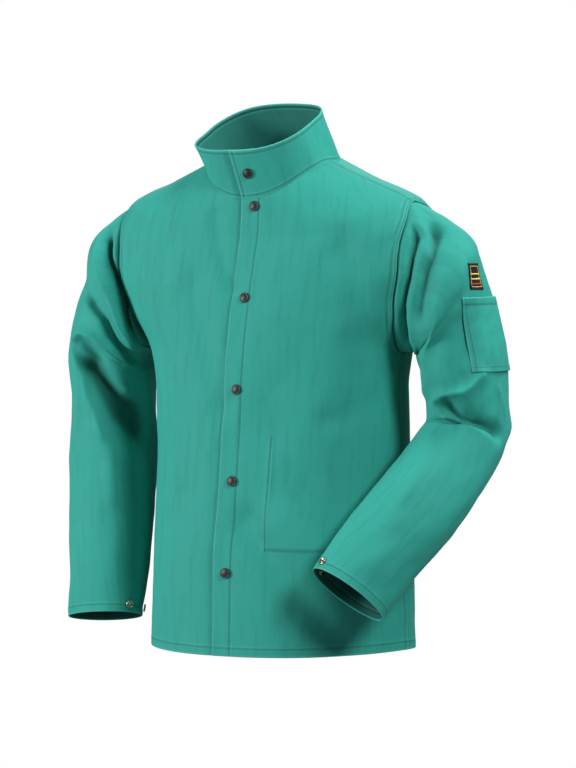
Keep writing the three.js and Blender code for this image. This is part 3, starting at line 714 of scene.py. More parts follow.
def dress_body_panel(grid, sides):
    """The rise of what all the body's panels have: unevenness, seams, hem and neck."""
    points = grid.points
    hem = grid.along
    rise = 0.0011 * ripple(points * [1, 1, 0.45], 3, 0.16) + 0.0003 * ripple(points, 4, 0.045)
    rise *= smooth(0, 0.02, hem)
    rise += turn_hem(grid, hem, grid.across, HEM_WIDTH_TURNED, 11)
    for side in sides:
        for seed, line in enumerate((ARMHOLES[side], *side_seams(side)), 12):
            distance = nearest_distance(points, line)
            rise += seam_band(distance) + sew(grid, distance, FIRST_ROW, SECOND_ROW)
            rise += pucker(distance - SEAM_WIDTH, grid.along, 0.005, seed, points)
            grid.wear_and_painted_light += SEAM_WEAR * edge_wear(distance)
    grid.wear_and_painted_light += edge_wear(hem)
    rise -= 0.0006 * np.exp(-(nearest_distance(points, NECK_SEAM) / 0.003) ** 2)
    return rise


def make_left_front():
    grid = front_grid(1)
    edge = grid.across
    rise = dress_body_panel(grid, [1]) + turn_hem(grid, edge, grid.along, FACING_WIDTH, 21)
    rise += 0.0005 * smooth(0.012, 0, edge) + pocket_ridge(grid)
    grid.wear_and_painted_light += edge_wear(edge)
    grid.push(rise)
    return grid


def make_right_front():
    grid = front_grid(-1)
    edge = grid.across
    rise = dress_body_panel(grid, [-1])
    rise -= (CLOTH + LAP_GAP + TURNED_CLOTH) * smooth(LAP_WIDTH + 0.024, LAP_WIDTH + 0.001, edge)
    grid.wear_and_painted_light += edge_wear(edge)
    grid.push(rise)
    return grid


def make_back():
    grid = back_grid()
    grid.push(dress_body_panel(grid, [1, -1]))
    return grid


def pocket_corners():
    """The lines on the front of the stitches that hold the inside pocket: its edge and its foot."""
    left = INSIDE_POCKET_FROM_EDGE - 0.5 * LAP_WIDTH
    foot = -BODY_LENGTH + INSIDE_POCKET_ABOVE_HEM
    upright, _ = front_place(left, np.linspace(foot + INSIDE_POCKET[1], foot, 60))
    across, _ = front_place(left + np.linspace(0, INSIDE_POCKET[0], 44), foot)
    return upright, across


def pocket_ridge(grid):
    """The pocket's doubled cloth shows through the front as a faint ridge beside its stitches."""
    rise = np.zeros(grid.across.shape)
    for line in pocket_corners():
        distance = nearest_distance(grid.points, line)
        rise += 0.0007 * np.exp(-((distance - 0.003) / 0.0028) ** 2)
        rise += sew(grid, distance, 0.0)
    return rise


def halve(lowest, highest, shape, is_short):
    """The levels at which a test turns false, found by halving what lies between two bounds."""
    low = np.full(shape, float(lowest))
    high = np.full(shape, float(highest))
    for _ in range(HALVINGS):
        middle = 0.5 * (low + high)
        short = is_short(middle)
        low = np.where(short, middle, low)
        high = np.where(short, high, middle)
    return low


def front_place(from_snap_line, height):
    """The places on the front at distances from the snaps' line and at heights, with their normals."""
    from_snap_line, height = np.broadcast_arrays(np.asarray(from_snap_line, float), height)

    def is_short(level):
        return body_point(level, front_angle(level, from_snap_line))[..., 2] < height

    level = halve(0, NECK_ROW, height.shape, is_short)
    angle = front_angle(level, from_snap_line)
    return body_point(level, angle), surface_normal(body_point, level, angle, np.array([0, -1, 0]))


def surface_normal(surface, a, b, outward):
    step = 0.01
    along = surface(a + step, b) - surface(a - step, b)
    normal = unit(np.cross(along, surface(a, b + step) - surface(a, b - step)))
    return normal * np.where(normal @ outward > 0, 1, -1)[..., None]


def make_sleeve(arm, texture_seed):
    """A sleeve's grid: rows from the armhole to the cuff, columns around it."""
    length = 0.62
    shares = stops(length, [0, length - CUFF_HEM, length])
    around = np.linspace(0, TURN, int(0.44 / COARSE) + 1)[:-1]
    rings = arm.last * shares
    points = arm.point(rings[:, None], around[None, :])
    grid = Grid(points, points - points.mean(axis=1, keepdims=True), closed=True)
    top = nearest_distance(points, ARMHOLES[arm.side])
    cuff = grid.along[-1:] - grid.along
    rise = 0.0010 * ripple(points, texture_seed, 0.11) + 0.0004 * ripple(points, texture_seed + 1, 0.04)
    rise *= smooth(0, 0.02, top) * smooth(0, 0.015, cuff)
    in_front = smooth(0.1, 0.5, np.sin(around))[None, :]
    rise -= (0.0010 + 0.0014 * in_front) * np.exp(-(top / 0.006) ** 2)
    # Painted shade: a dark line in front along the armhole seam, where the sleeve meets the body
    grid.wear_and_painted_light = -0.8 * in_front * np.exp(-(top / 0.0022) ** 2)
    # Painted shade in the hollows of the folds, darker where they sink deeper
    grid.wear_and_painted_light += HOLLOW_PAINTED_SHADE * smooth(0.008, 0.021, -arm.rise(rings[:, None], around[None, :]))
    rise += turn_hem(grid, cuff, grid.across, CUFF_HEM, texture_seed + 2)
    grid.wear_and_painted_light += edge_wear(cuff)
    grid.push(rise)
    return grid


def make_collar():
    """The collar's grid: rows from below the neck seam to the rim, columns from its left end round
    the back to its right end, which lies underneath."""
    angles_from = float(front_angle(NECK_ROW, -0.5 * LAP_WIDTH))
    angles_to = float(front_angle(NECK_ROW, 0.5 * LAP_WIDTH)) + TURN
    shares = stops(0.60, [0, COLLAR_EDGE, 0.60])
    levels = -0.035 + 1.035 * stops(0.070, [0, 0.066, 0.070])
    angles = mix(angles_from, angles_to, shares)
    points = collar_point(levels[:, None], angles[None, :])
    grid = Grid(points, points - np.array([0, NECK_MIDDLE, 0]))
    rim = grid.along[-1:] - grid.along
    foot = grid.along
    left_end = grid.across
    right_end = grid.across[:, -1:] - grid.across
    rise = np.full(points.shape[:2], COLLAR_OVER_BODY)
    rise += 0.0007 * ripple(points, 31, 0.07)
    for distance in (rim, foot, left_end):
        rise += hem_band(distance, COLLAR_EDGE) + 0.6 * sew(grid, distance, COLLAR_EDGE - HEM_ROW)
        grid.wear_and_painted_light += edge_wear(distance)
    rise += pucker(rim - COLLAR_EDGE, grid.across, 0.005, 32, points)
    under = smooth(LAP_WIDTH + 0.020, LAP_WIDTH - 0.002, right_end)
    rise -= (COLLAR_CLOTH + LAP_GAP + 2 * TURNED_CLOTH) * under
    grid.push(rise)
    return grid


# Solids from grids

def wall(name, grid, thickness, material, inside=0.0):
    """A closed wall: the grid, the same grid set back by the thickness, and a rounded edge round them.
    Where that value is above 0, its inner face is painted darker as shade."""
    rows, columns = grid.points.shape[:2]
    outer = grid.points
    inner = outer - grid.normals * thickness
    vertices = [outer.reshape(-1, 3), inner.reshape(-1, 3)]
    back = rows * columns
    index = np.arange(back).reshape(rows, columns)
    if grid.closed:
        index = np.concatenate([index, index[:, :1]], axis=1)
    a, b, c, d = index[:-1, :-1], index[:-1, 1:], index[1:, 1:], index[1:, :-1]
    front = np.stack([a, b, c, d], axis=-1).reshape(-1, 4)
    faces = [front, front[:, ::-1] + back]
    if grid.closed:
        loops = [(index[0], grid.points[0] - grid.points[1]), (index[-1], grid.points[-1] - grid.points[-2])]
    else:
        ring = np.concatenate([index[0], index[1:, -1], index[-1, -2::-1], index[-2::-1, 0]])
        towards = np.concatenate([
            grid.points[0] - grid.points[1], (grid.points[:, -1] - grid.points[:, -2])[1:],
            (grid.points[-1] - grid.points[-2])[-2::-1], (grid.points[:, 0] - grid.points[:, 1])[-2::-1],
        ])
        loops = [(ring, towards)]
    offset = 2 * back
    for number, (ring, towards) in enumerate(loops):
        loop = ring[:-1]
        towards = unit(towards[:len(loop)])
        middle = 0.5 * (vertices[0][loop] + vertices[1][loop]) + towards * 0.4 * thickness
        vertices.append(middle)
        here = offset + np.arange(len(loop))
        after = np.roll(here, -1)
        following = np.roll(loop, -1)
        if number == 1:
            faces.append(np.stack([loop, following, after, here], axis=-1))
            faces.append(np.stack([here, after, following + back, loop + back], axis=-1))
        else:
            faces.append(np.stack([following, loop, here, after], axis=-1))
            faces.append(np.stack([after, here, loop + back, following + back], axis=-1))
        offset += len(loop)
    vertices = np.concatenate(vertices)
    faces = np.concatenate(faces)
    if grid.turned < 0:
        faces = faces[:, ::-1]
    around = len(vertices) - 2 * back
    # The inner face's value is lowered by inside, which paints shade on it
    wear_and_painted_light = np.concatenate([grid.wear_and_painted_light.ravel(), grid.wear_and_painted_light.ravel() - inside, np.full(around, EDGE_WEAR)])
    lengths = np.stack([grid.across.ravel(), grid.along.ravel()], axis=-1)
    places = np.concatenate([lengths, lengths, np.zeros((around, 2))])
    return make_mesh(name, vertices, faces, material, wear_and_painted_light=wear_and_painted_light, places=places)


def make_mesh(name, vertices, faces, material, wear_and_painted_light=None, places=None):
    mesh = bpy.data.meshes.new(name)
    faces = np.asarray(faces)
    mesh.vertices.add(len(vertices))
    mesh.vertices.foreach_set("co", np.asarray(vertices, np.float32).ravel())
    corners = faces.shape[1]
    mesh.loops.add(faces.size)
    mesh.loops.foreach_set("vertex_index", faces.ravel().astype(np.int32))
    mesh.polygons.add(len(faces))
    mesh.polygons.foreach_set("loop_start", np.arange(0, faces.size, corners, dtype=np.int32))
    mesh.update(calc_edges=True)
    mesh.validate()
    mesh.polygons.foreach_set("use_smooth", np.full(len(mesh.polygons), True))
    if wear_and_painted_light is not None:
        layer = mesh.attributes.new("wear_and_painted_light", "FLOAT", "POINT")
        layer.data.foreach_set("value", wear_and_painted_light.astype(np.float32))
    if places is not None:
        layer = mesh.uv_layers.new(name="cloth")
        vertex = np.empty(len(mesh.loops), np.int32)
        mesh.loops.foreach_get("vertex_index", vertex)
        layer.data.foreach_set("uv", places[vertex].astype(np.float32).ravel())
    mesh.materials.append(material)
    piece = bpy.data.objects.new(name, mesh)
    bpy.context.scene.collection.objects.link(piece)
    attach(piece, "root")
    return piece


# Stitches

def evenly(line, spacing):
    """Places along a line of points at an even spacing."""
    steps = np.linalg.norm(np.diff(line, axis=0), axis=1)
    length = np.concatenate([[0], np.cumsum(steps)])
    count = max(int(length[-1] / spacing), 2)
    at = np.linspace(0.4 * spacing, length[-1] - 0.4 * spacing, count)
    return np.stack([np.interp(at, length, line[:, k]) for k in range(3)], axis=-1)


def lay_on(grid, points):
    """Points moved onto a grid's surface, with the surface's direction there."""
    flat = grid.points.reshape(-1, 3)
    near = [grid.tree().find(point)[1] for point in points]
    out = grid.normals.reshape(-1, 3)[near]
    height = np.sum((points - flat[near]) * out, axis=1, keepdims=True)
    return points - out * height, out


def stitch_rows(name, grid, lines):
    """Rows of stitches on a grid's surface, joined into one mesh. Each stitch is a slim bar of four sides."""
    rows = []
    for line in lines:
        points, out = lay_on(grid, evenly(line, STITCH_SPACING))
        rows.append((points, unit(np.gradient(points, axis=0)), out))
    centres, ways, outs = [np.concatenate(parts) for parts in zip(*rows)]
    outs = unit(outs)
    aside = unit(np.cross(ways, outs))
    half = 0.5 * STITCH_LENGTH
    vertices = [centres + ways * share * half - outs * 0.4 * THREAD for share in (-1, 1)]
    for share in (-0.55, 0.55):
        middle = centres + ways * share * half
        for side, up in ((0.55, 0.25), (0, 0.75), (-0.55, 0.25), (0, -0.25)):
            vertices.append(middle + aside * side * THREAD + outs * up * THREAD)
    count = len(centres)
    pattern = []
    for i in range(4):
        j = (i + 1) % 4
        pattern += [(0, 2 + j, 2 + i), (2 + i, 2 + j, 6 + i), (2 + j, 6 + j, 6 + i), (1, 6 + i, 6 + j)]
    faces = np.array(pattern)[None] * count + np.arange(count)[:, None, None]
    make_mesh(name, np.concatenate(vertices), faces.reshape(-1, 3), green_thread)


def inset(line, grid, distance):
    """A line moved from a seam towards the side where the grid lies."""
    _, out = lay_on(grid, line)
    aside = unit(np.cross(unit(np.gradient(line, axis=0)), out))
    return min((line + aside * sign * distance for sign in (1, -1)), key=lambda moved: off_grid(grid, moved))


def off_grid(grid, points):
    """How far some of the points lie from the grid in all."""
    return sum(grid.tree().find(point)[2] for point in points[::8])


# Materials

class Tree:
    """The nodes of a material or of the surroundings."""

    def __init__(self, owner):
        owner.use_nodes = True
        self.owner = owner
        self.nodes = owner.node_tree.nodes
        self.links = owner.node_tree.links

    def fill(self, node, inputs):
        """Sets inputs to constants, or links them to the outputs of other nodes."""
        for key, value in inputs.items():
            if isinstance(value, bpy.types.NodeSocket):
                self.links.new(value, node.inputs[key])
            else:
                node.inputs[key].default_value = value

    def add(self, kind, inputs=None, **settings):
        node = self.nodes.new(kind)
        for key, value in settings.items():
            setattr(node, key, value)
        self.fill(node, inputs or {})
        return node

    def noise(self, source, scale, detail=3.0):
        mapping = self.add("ShaderNodeMapping", {"Vector": source, "Scale": scale})
        inputs = {"Vector": mapping.outputs["Vector"], "Scale": 1.0, "Detail": detail, "Roughness": 0.6}
        return self.add("ShaderNodeTexNoise", inputs).outputs["Fac"]

    def speckle(self, size, detail=3.0):
        place = self.add("ShaderNodeTexCoord").outputs["Object"]
        return self.noise(place, (size, size, size), detail)

    def ramp(self, source, dark, light, low=0.0, high=1.0):
        ramp = self.add("ShaderNodeValToRGB", {"Fac": source})
        for i, (place, colour) in enumerate(((low, dark), (high, light))):
            ramp.color_ramp.elements[i].position = place
            ramp.color_ramp.elements[i].color = (*colour, 1)
        return ramp.outputs["Color"]

    def product(self, a, b):
        return self.add("ShaderNodeMath", {0: a, 1: b}, operation="MULTIPLY", use_clamp=True).outputs[0]

    def blend(self, share, a, b):
        return self.add("ShaderNodeMix", {0: share, 6: a, 7: b}, data_type="RGBA").outputs[2]

    def bump(self, height, strength, distance):
        inputs = {"Height": height, "Strength": strength, "Distance": distance}
        return self.add("ShaderNodeBump", inputs).outputs["Normal"]

    def shade(self, inputs):
        self.fill(self.nodes["Principled BSDF"], inputs)
        return self.owner


def cloth_material(name, dark, light, worn_and_highlight_colour):
    """Fine cotton sateen: long warp threads, shorter weft threads, paler rubbed edges, and painted light:
    shade in grooves, fold hollows and inner faces, and a highlight beside stitch grooves.
    """
    tree = Tree(bpy.data.materials.new(name))
    places = tree.add("ShaderNodeUVMap", uv_map="cloth").outputs["UV"]
    warp = tree.noise(places, (1500, 45, 1))
    weft = tree.noise(places, (60, 1500, 1))
    mottle = tree.noise(places, (90, 10, 1))
    threads = tree.add("ShaderNodeMix", {0: 0.42, 2: warp, 3: weft}, data_type="FLOAT").outputs[0]
    tone = tree.add("ShaderNodeMath", {0: threads, 1: mottle}, operation="ADD").outputs[0]
    wear_and_painted_light = tree.add("ShaderNodeAttribute", attribute_name="wear_and_painted_light").outputs["Fac"]
    # Below 0 the colour moves towards this darker green as painted shade; above 0 towards the paler colour of
    # rubbed edges and painted highlights
    shadow = (*[0.25 * c for c in dark], 1)
    sunk = tree.blend(tree.product(wear_and_painted_light, -1), tree.ramp(tone, dark, light, 0.62, 1.0), shadow)
    return tree.shade({
        "Base Color": tree.blend(tree.product(wear_and_painted_light, threads), sunk, (*worn_and_highlight_colour, 1)),
        "Normal": tree.bump(threads, 0.25, 0.0005),
        "Roughness": 0.78,
        "Specular IOR Level": 0.28,
        "Sheen Weight": 0.10,
        "Sheen Tint": (0.25, 0.85, 0.75, 1),
        "Sheen Roughness": 0.5,
    })


def thread_material(name, colour):
    tree = Tree(bpy.data.materials.new(name))
    dark = [0.75 * c for c in colour]
    light = [1.25 * c for c in colour]
    return tree.shade({"Base Color": tree.ramp(tree.speckle(2500, 1.0), dark, light), "Roughness": 0.6})


def metal_material(name, dark, light, metallic, roughness):
    tree = Tree(bpy.data.materials.new(name))
    spots = tree.speckle(900)
    return tree.shade({
        "Base Color": tree.ramp(spots, dark, light, 0.35, 0.75),
        "Normal": tree.bump(spots, 0.12, 0.0002),
        "Metallic": metallic,
        "Roughness": roughness,
    })


green_cloth = cloth_material("green_cloth", (0.015, 0.245, 0.198), (0.023, 0.318, 0.262), (0.10, 0.50, 0.42))
green_thread = thread_material("green_thread", (0.055, 0.36, 0.29))
black_enamel = metal_material("black_enamel", (0.001, 0.0015, 0.002), (0.004, 0.006, 0.007), 0.0, 0.50)
worn_nickel = metal_material("worn_nickel", (0.30, 0.27, 0.21), (0.62, 0.57, 0.46), 1.0, 0.30)
black_twill = thread_material("black_twill", (0.010, 0.010, 0.011))
gold_thread = thread_material("gold_thread", (0.62, 0.50, 0.13))
red_thread = thread_material("red_thread", (0.40, 0.02, 0.03))


# Panels

def add_piece(name, node, grid, thickness, inside=0.0):
    piece = wall(name, grid, thickness, green_cloth, inside)
    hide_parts(node)


left_front = make_left_front()
right_front = make_right_front()
back = make_back()
left_sleeve = make_sleeve(left_arm, 41)
right_sleeve = make_sleeve(right_arm, 51)
collar = make_collar()

add_piece("left_front_cloth", "left_front", left_front, CLOTH)
add_piece("right_front_cloth", "right_front", right_front, CLOTH)
add_piece("back_cloth", "back_panel", back, CLOTH)
add_piece("left_sleeve_cloth", "left_sleeve", left_sleeve, CLOTH, SLEEVE_INSIDE_PAINTED_SHADE)
add_piece("right_sleeve_cloth", "right_sleeve", right_sleeve, CLOTH, SLEEVE_INSIDE_PAINTED_SHADE)
add_piece("collar_cloth", "collar", collar, COLLAR_CLOTH, COLLAR_INSIDE_PAINTED_SHADE)


def seam_stitches(grid, side):
    return [inset(seam, grid, row) for seam in side_seams(side) for row in (FIRST_ROW, SECOND_ROW)]


def armhole_stitches(grid, side, start):
    """The rows along the front or the back half of the armhole, from the turn where it starts."""
    part = armhole_point(side, np.linspace(start + 0.05, start + math.pi - 0.05, 110))
    return [inset(part, grid, row) for row in (FIRST_ROW, SECOND_ROW)]


def add_stitching():
    hem_row = HEM_WIDTH_TURNED - HEM_ROW
    stitch_rows("left_front_stitching", left_front, [
        left_front.rail(FACING_WIDTH - HEM_ROW), left_front.rail(FIRST_ROW), left_front.contour(hem_row),
        *seam_stitches(left_front, 1), *armhole_stitches(left_front, 1, 0), *pocket_corners(),
    ])
    stitch_rows("right_front_stitching", right_front, [
        right_front.rail(FIRST_ROW), right_front.contour(hem_row),
        *seam_stitches(right_front, -1), *armhole_stitches(right_front, -1, 0),
    ])
    stitch_rows("back_stitching", back, [
        back.contour(hem_row), *armhole_stitches(back, 1, math.pi), *armhole_stitches(back, -1, math.pi),
    ])
    for name, grid in (("left_sleeve_stitching", left_sleeve), ("right_sleeve_stitching", right_sleeve)):
        cuff = grid.contour(CUFF_HEM - HEM_ROW, from_end=True)
        stitch_rows(name, grid, [np.concatenate([cuff, cuff[:1]])])
    edge_row = COLLAR_EDGE - HEM_ROW
    stitch_rows("collar_stitching", collar, [
        collar.contour(edge_row, from_end=True), collar.contour(0.0035), collar.rail(edge_row),
    ])


add_stitching()


# Patches on the left sleeve

def sleeve_place(around, height):
    """Points of the left sleeve at angles and heights."""
    around, height = np.broadcast_arrays(np.asarray(around, float), np.asarray(height, float))
    ring = halve(1, left_arm.last, around.shape, lambda ring: left_arm.point(ring, around)[..., 2] > height)
    return left_arm.point(ring, around)


def patch_grid(at, size, lift, across_marks, along_marks, fine=FINE):
    """An upright patch's grid, its rows from its foot to its top."""
    width, length = size
    around = math.radians(at[0])
    height = float(height_of(at[1]))
    step = width / SLEEVE_WIDTH
    ends = sleeve_place(around + np.array([-step, step]), height)
    per_angle = np.linalg.norm(ends[1] - ends[0]) / (2 * step)
    across = width * (stops(width, across_marks, fine, 0.003, 0.002) - 0.5)
    along = length * (stops(length, along_marks, fine, 0.003, 0.002) - 0.5)
    points = sleeve_place(around + across[None, :] / per_angle, height + along[:, None])
    grid = Grid(points, points - np.array([BESIDE_BODY, 0, height]))
    grid.push(np.full(points.shape[:2], lift))
    return grid


def add_sleeve_pocket():
    width, length = SLEEVE_POCKET
    second = FIRST_ROW + 0.005
    grid = patch_grid(SLEEVE_POCKET_AT, SLEEVE_POCKET, CLOTH + PATCH_GAP,
                      [0, second, width - second, width], [0, second, length - SLEEVE_POCKET_HEM, length])
    left = grid.across
    right = grid.across[:, -1:] - grid.across
    foot = grid.along
    top = grid.along[-1:] - grid.along
    rise = 0.0018 * smooth(0, 0.03, left) * smooth(0, 0.03, right) * smooth(0, 0.03, foot)
    rise += 0.0004 * ripple(grid.points, 61, 0.03)
    for distance in (left, right, foot):
        rise += hem_band(distance, second) + 0.6 * sew(grid, distance, second)
        grid.wear_and_painted_light += SEAM_WEAR * edge_wear(distance)
    rise += hem_band(top, SLEEVE_POCKET_HEM) + sew(grid, top, SLEEVE_POCKET_HEM - HEM_ROW)
    grid.wear_and_painted_light += edge_wear(top)
    grid.push(rise)
    add_piece("sleeve_pocket_cloth", "sleeve_pocket", grid, CLOTH)
    lines = [grid.contour(SLEEVE_POCKET_HEM - HEM_ROW, from_end=True)]
    for row in (FIRST_ROW, second - HEM_ROW):
        lines += [grid.rail(row), grid.rail(row, from_end=True), grid.contour(row)]
    stitch_rows("sleeve_pocket_stitching", grid, lines)


def add_badge():
    width, length = BADGE
    grid = patch_grid(BADGE_AT, BADGE, BADGE_THICKNESS + PATCH_GAP, [0, width], [0, length], 0.0006)
    piece = wall("sleeve_badge_ground", grid, BADGE_THICKNESS, black_twill)
    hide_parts("sleeve_badge")
    for part, margin, radius, material in (
        ("edge", 0.0009, 0.0011, black_twill), ("outline", 0.0040, 0.0006, gold_thread),
    ):
        ring = np.concatenate([
            grid.contour(margin), grid.rail(margin, from_end=True),
            grid.contour(margin, from_end=True)[::-1], grid.rail(margin)[::-1],
        ])
        ring = ring[[within(grid, point, 0.9 * margin) for point in ring]]
        places, out = lay_on(grid, evenly(ring, BADGE_STITCH))
        satin_cord(f"sleeve_badge_{part}", places + out * 0.3 * radius, out, radius, True, material)
    for number, share in enumerate(BADGE_BARS, 1):
        row = grid.contour(share * length)
        margin = len(row) // 4
        places, out = lay_on(grid, evenly(row[margin:-margin], BADGE_STITCH))
        material = red_thread if number == 1 else gold_thread
        places = places + out * 0.0002
        satin_cord(f"sleeve_badge_bar_{number}", places, out, BADGE_BAR_RADIUS, False, material)


def within(grid, point, margin):
    """Whether a point of a patch keeps a margin from its four edges."""
    near = grid.tree().find(point)[1]
    row, column = divmod(near, grid.points.shape[1])
    across = grid.across[row]
    along = grid.along[:, column]
    return (margin < across[column] < across[-1] - margin) and (margin < along[row] < along[-1] - margin)


def satin_cord(name, line, out, radius, closed, material):
    """A raised cord of satin stitches along a line, thick and thin in turn."""
    steps = np.roll(line, -1, axis=0) - np.roll(line, 1, axis=0) if closed else np.gradient(line, axis=0)
    aside = unit(np.cross(unit(steps), out))
    thickness = radius * (1 + 0.10 * (-1.0) ** np.arange(len(line)))
    turn = np.linspace(0, TURN, 8 + 1)[:-1]
    offsets = (aside[:, None] * np.cos(turn)[None, :, None]
               + 0.7 * out[:, None] * np.sin(turn)[None, :, None]) * thickness[:, None, None]
    piece = tube(name, line[:, None] + offsets, closed, material)


def tube(name, rings, closed, material):
    """A piece through rings of points. Unless it is closed, a point in the middle closes each end."""
    count, sides = rings.shape[:2]
    faces = []
    for i in range(count if closed else count - 1):
        j = (i + 1) % count
        for k in range(sides):
            n = (k + 1) % sides
            faces.append((i * sides + k, i * sides + n, j * sides + n, j * sides + k))
    vertices = rings.reshape(-1, 3)
    if not closed:
        first = len(vertices)
        last = (count - 1) * sides
        vertices = np.concatenate([vertices, [rings[0].mean(axis=0), rings[-1].mean(axis=0)]])
        for k in range(0, sides, 2):
            n = (k + 1) % sides
            m = (k + 2) % sides
            faces.append((first, m, n, k))
            faces.append((first + 1, last + k, last + n, last + m))
    return make_mesh(name, vertices, faces, material)


def add_inside_pocket():
    width, length = INSIDE_POCKET
    left = INSIDE_POCKET_FROM_EDGE - 0.5 * LAP_WIDTH
    foot = -BODY_LENGTH + INSIDE_POCKET_ABOVE_HEM
    across = width * stops(width, [0, width], FINE, 0.006)
    along = length * stops(length, [0, length], FINE, 0.006)
    points, _ = front_place(left + across[None, :], foot + along[:, None])
    grid = Grid(points, np.broadcast_to([0.0, -1.0, 0.0], points.shape))
    grid.push(np.full(points.shape[:2], -CLOTH - BAG_GAP))
    sag = 0.004 * smooth(0, 0.05, grid.across) * smooth(0, 0.05, grid.across[:, -1:] - grid.across)
    grid.push(0.0006 * ripple(grid.points, 71, 0.05) - sag * smooth(0, 0.04, grid.along))
    for distance in (grid.along[-1:] - grid.along, grid.across, grid.along):
        grid.wear_and_painted_light += edge_wear(distance)
    add_piece("inside_pocket_cloth", "inside_pocket", grid, CLOTH)


add_sleeve_pocket()
add_badge()
add_inside_pocket()


# Snaps

def turned_profile(name, profile, place, out, material):
    """A round part turned from a profile of radius and height, standing on a place along its direction."""
    turn = np.linspace(0, TURN, 40 + 1)[:-1]
    aside = unit(np.cross(out, [0.1, 0.2, 1.0]))
    circle = np.cos(turn)[:, None] * aside + np.sin(turn)[:, None] * np.cross(out, aside)
    radius, height = np.array(profile).T[..., None, None]
    return tube(name, place + radius * circle + height * out, False, material)


def cap_profile(radius, height):
    """A pressed cap: a rolled edge, a shallow groove inside it and a slightly domed middle."""
    shares = [
        (0.30, 0.0), (0.90, 0.0), (0.97, 0.10), (1.0, 0.32), (0.985, 0.55), (0.93, 0.74), (0.86, 0.80),
        (0.78, 0.74), (0.72, 0.70), (0.66, 0.78), (0.50, 0.90), (0.28, 0.98), (0.05, 1.0),
    ]
    return [(across * radius, up * height) for across, up in shares]


def socket_profile(radius, height):
    """A ring with a rolled edge and a sunk middle, as a snap's socket or stud plate has."""
    shares = [
        (0.30, 0.0), (0.92, 0.0), (1.0, 0.35), (0.95, 0.85), (0.84, 1.0), (0.70, 0.82), (0.58, 0.35),
        (0.44, 0.30), (0.38, 0.75), (0.28, 0.95), (0.05, 0.98),
    ]
    return [(across * radius, up * height) for across, up in shares]


CAP = (cap_profile(0.5 * CAP_DIAMETER, CAP_HEIGHT), black_enamel, "snap_cap")
RING = (socket_profile(0.5 * CUFF_SNAP_DIAMETER, CUFF_SNAP_HEIGHT), worn_nickel, "snap_metal")
STUD = (socket_profile(0.5 * STUD_DIAMETER, STUD_HEIGHT), worn_nickel, "snap_metal")


def add_snap_part(name, place, out, part):
    profile, material, slot = part
    piece = turned_profile(name + "_turned", profile, place, out, material)
    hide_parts(name)


def add_snap(outer_name, outer, rise, inner_name, depth, place, out):
    """A snap through the cloth at a place: its outer part stands out by a rise, its plate lies inside."""
    add_snap_part(outer_name, place + out * rise, out, outer)
    add_snap_part(inner_name, place - out * depth, -out, STUD)


def add_front_snaps():
    highest = float(height_of(SECTIONS[NECK_ROW][1])) - FIRST_SNAP_BELOW_SEAM
    lowest = -BODY_LENGTH + LAST_SNAP_ABOVE_HEM
    depth = 2 * CLOTH + LAP_GAP + 2 * TURNED_CLOTH + BEHIND_LAP
    for i, height in enumerate(np.linspace(highest, lowest, SNAP_COUNT), 1):
        place, out = front_place(0.0, height)
        add_snap(f"front_snap_cap_{i}", CAP, SEAT_GAP + TURNED_CLOTH,
                 f"front_snap_stud_{i}", depth, place, out)


def add_collar_snap():
    angle = float(front_angle(NECK_ROW, 0.0))
    place = collar_point(0.5, angle)
    out = surface_normal(collar_point, 0.5, angle, np.array([0, -1, 0]))
    depth = 2 * COLLAR_CLOTH + LAP_GAP + 2 * BEHIND_LAP
    add_snap("collar_snap_cap", CAP, SEAT_GAP + COLLAR_OVER_BODY, "collar_snap_stud", depth, place, out)


def add_cuff_snaps(name, arm):
    step = 0.1
    middle = math.radians(CUFF_SNAP_AROUND)
    here = arm.point(arm.last, middle)
    per_ring = np.linalg.norm(arm.point(arm.last - step, middle) - here) / step
    per_angle = np.linalg.norm(arm.point(arm.last, middle + step) - here) / step
    ring = arm.last - CUFF_SNAP_ABOVE_EDGE / per_ring
    centre = np.mean(arm.point(ring, np.linspace(0, TURN, 13)[:-1]), axis=0)
    for i, share in enumerate((-0.5, 0.5), 1):
        around = middle + share * CUFF_SNAP_SPACING / per_angle
        place = arm.point(ring, around)
        out = surface_normal(arm.point, ring, around, place - centre)
        add_snap(f"{name}_cuff_snap_{i}", RING, SEAT_GAP + TURNED_CLOTH,
                 f"{name}_cuff_snap_back_{i}", CLOTH + TURNED_CLOTH, place, out)


add_front_snaps()
add_collar_snap()
add_cuff_snaps("left", left_arm)
add_cuff_snaps("right", right_arm)


# Stage, light and camera

FLOOR_GREY = (0.22, 0.22, 0.22)
FLOOR_REACH = 40.0
FLOOR_HEIGHT = -1.35
WORLD_LIGHT = 0.13
CAMERA_TURN = math.radians(30)
CAMERA_RISE = math.radians(2)
CAMERA_DISTANCE = 7.0
CAMERA_TARGET = (0, 0, -0.336)
CAMERA_VIEW = 768 * 0.0015

# Each light's name, place, target, size and power
LIGHTS = [
    ("key", (-2.6, -2.4, 0.2), (0, 0, -0.40), 1.1, 122),
    ("fill", (3.4, -1.5, 1.8), (0, 0, -0.30), 1.2, 118),
    ("top", (1.5, 0.5, 2.7), (0, 0, -0.25), 1.2, 90),
    ("back", (-1.6, 3.0, 1.6), (0, 0, -0.35), 2.0, 45),
]


def look_at(thing, target):
    thing.rotation_euler = (Vector(target) - thing.location).to_track_quat("-Z", "Y").to_euler()


def add_light(name, place, target, size, power):
    lamp = bpy.data.lights.new(name, "AREA")
    lamp.shape = "DISK"
    lamp.size = size
    lamp.energy = power
    light = bpy.data.objects.new(name, lamp)
    light.location = place
    bpy.context.scene.collection.objects.link(light)
    look_at(light, target)


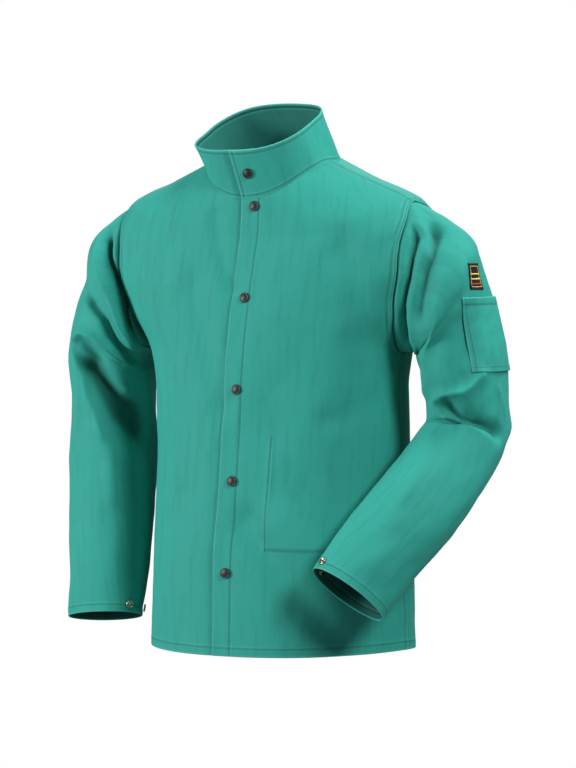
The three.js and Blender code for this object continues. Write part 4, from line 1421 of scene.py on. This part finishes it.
def split_for_camera(tree, light, seen, target):
    """Shows the camera one shader while another one gives the light."""
    ray = tree.add("ShaderNodeLightPath").outputs["Is Camera Ray"]
    shaders = {0: ray, 1: light.outputs[0], 2: seen.outputs[0]}
    tree.fill(tree.nodes[target], {"Surface": tree.add("ShaderNodeMixShader", shaders).outputs[0]})


def add_stage():
    """A pale floor, far below the jacket, so wide that it meets the pale surroundings."""
    tree = Tree(bpy.data.materials.new("floor_white"))
    tree.shade({"Base Color": (*FLOOR_GREY, 1), "Roughness": 1.0})
    glow = tree.add("ShaderNodeEmission", {"Strength": 1.0})
    split_for_camera(tree, tree.nodes["Principled BSDF"], glow, "Material Output")
    mesh = bpy.data.meshes.new("floor")
    ways = ((-1, -1), (1, -1), (1, 1), (-1, 1))
    corners = [(x * FLOOR_REACH, y * FLOOR_REACH, FLOOR_HEIGHT) for x, y in ways]
    mesh.from_pydata(corners, [], [(0, 1, 2, 3)])
    mesh.materials.append(tree.owner)
    floor = bpy.data.objects.new("floor", mesh)
    bpy.context.scene.collection.objects.link(floor)


def add_surroundings():
    tree = Tree(bpy.data.worlds.new("studio"))
    seen = tree.nodes["Background"]
    tree.fill(seen, {"Strength": 1.0, "Color": (1, 1, 1, 1)})
    light = tree.add("ShaderNodeBackground", {"Strength": WORLD_LIGHT, "Color": (1, 1, 1, 1)})
    split_for_camera(tree, light, seen, "World Output")
    bpy.context.scene.world = tree.owner
    bpy.context.scene.view_settings.view_transform = "Standard"


def add_camera():
    data = bpy.data.cameras.new("camera")
    data.sensor_width = 36
    data.lens = data.sensor_width * CAMERA_DISTANCE / CAMERA_VIEW
    data.clip_end = 100
    camera = bpy.data.objects.new("camera", data)
    level = math.cos(CAMERA_RISE)
    way = Vector((math.sin(CAMERA_TURN) * level, -math.cos(CAMERA_TURN) * level, math.sin(CAMERA_RISE)))
    camera.location = Vector(CAMERA_TARGET) + CAMERA_DISTANCE * way
    bpy.context.scene.collection.objects.link(camera)
    look_at(camera, CAMERA_TARGET)
    bpy.context.scene.camera = camera


add_stage()
add_surroundings()
for light in LIGHTS:
    add_light(*light)
add_camera()
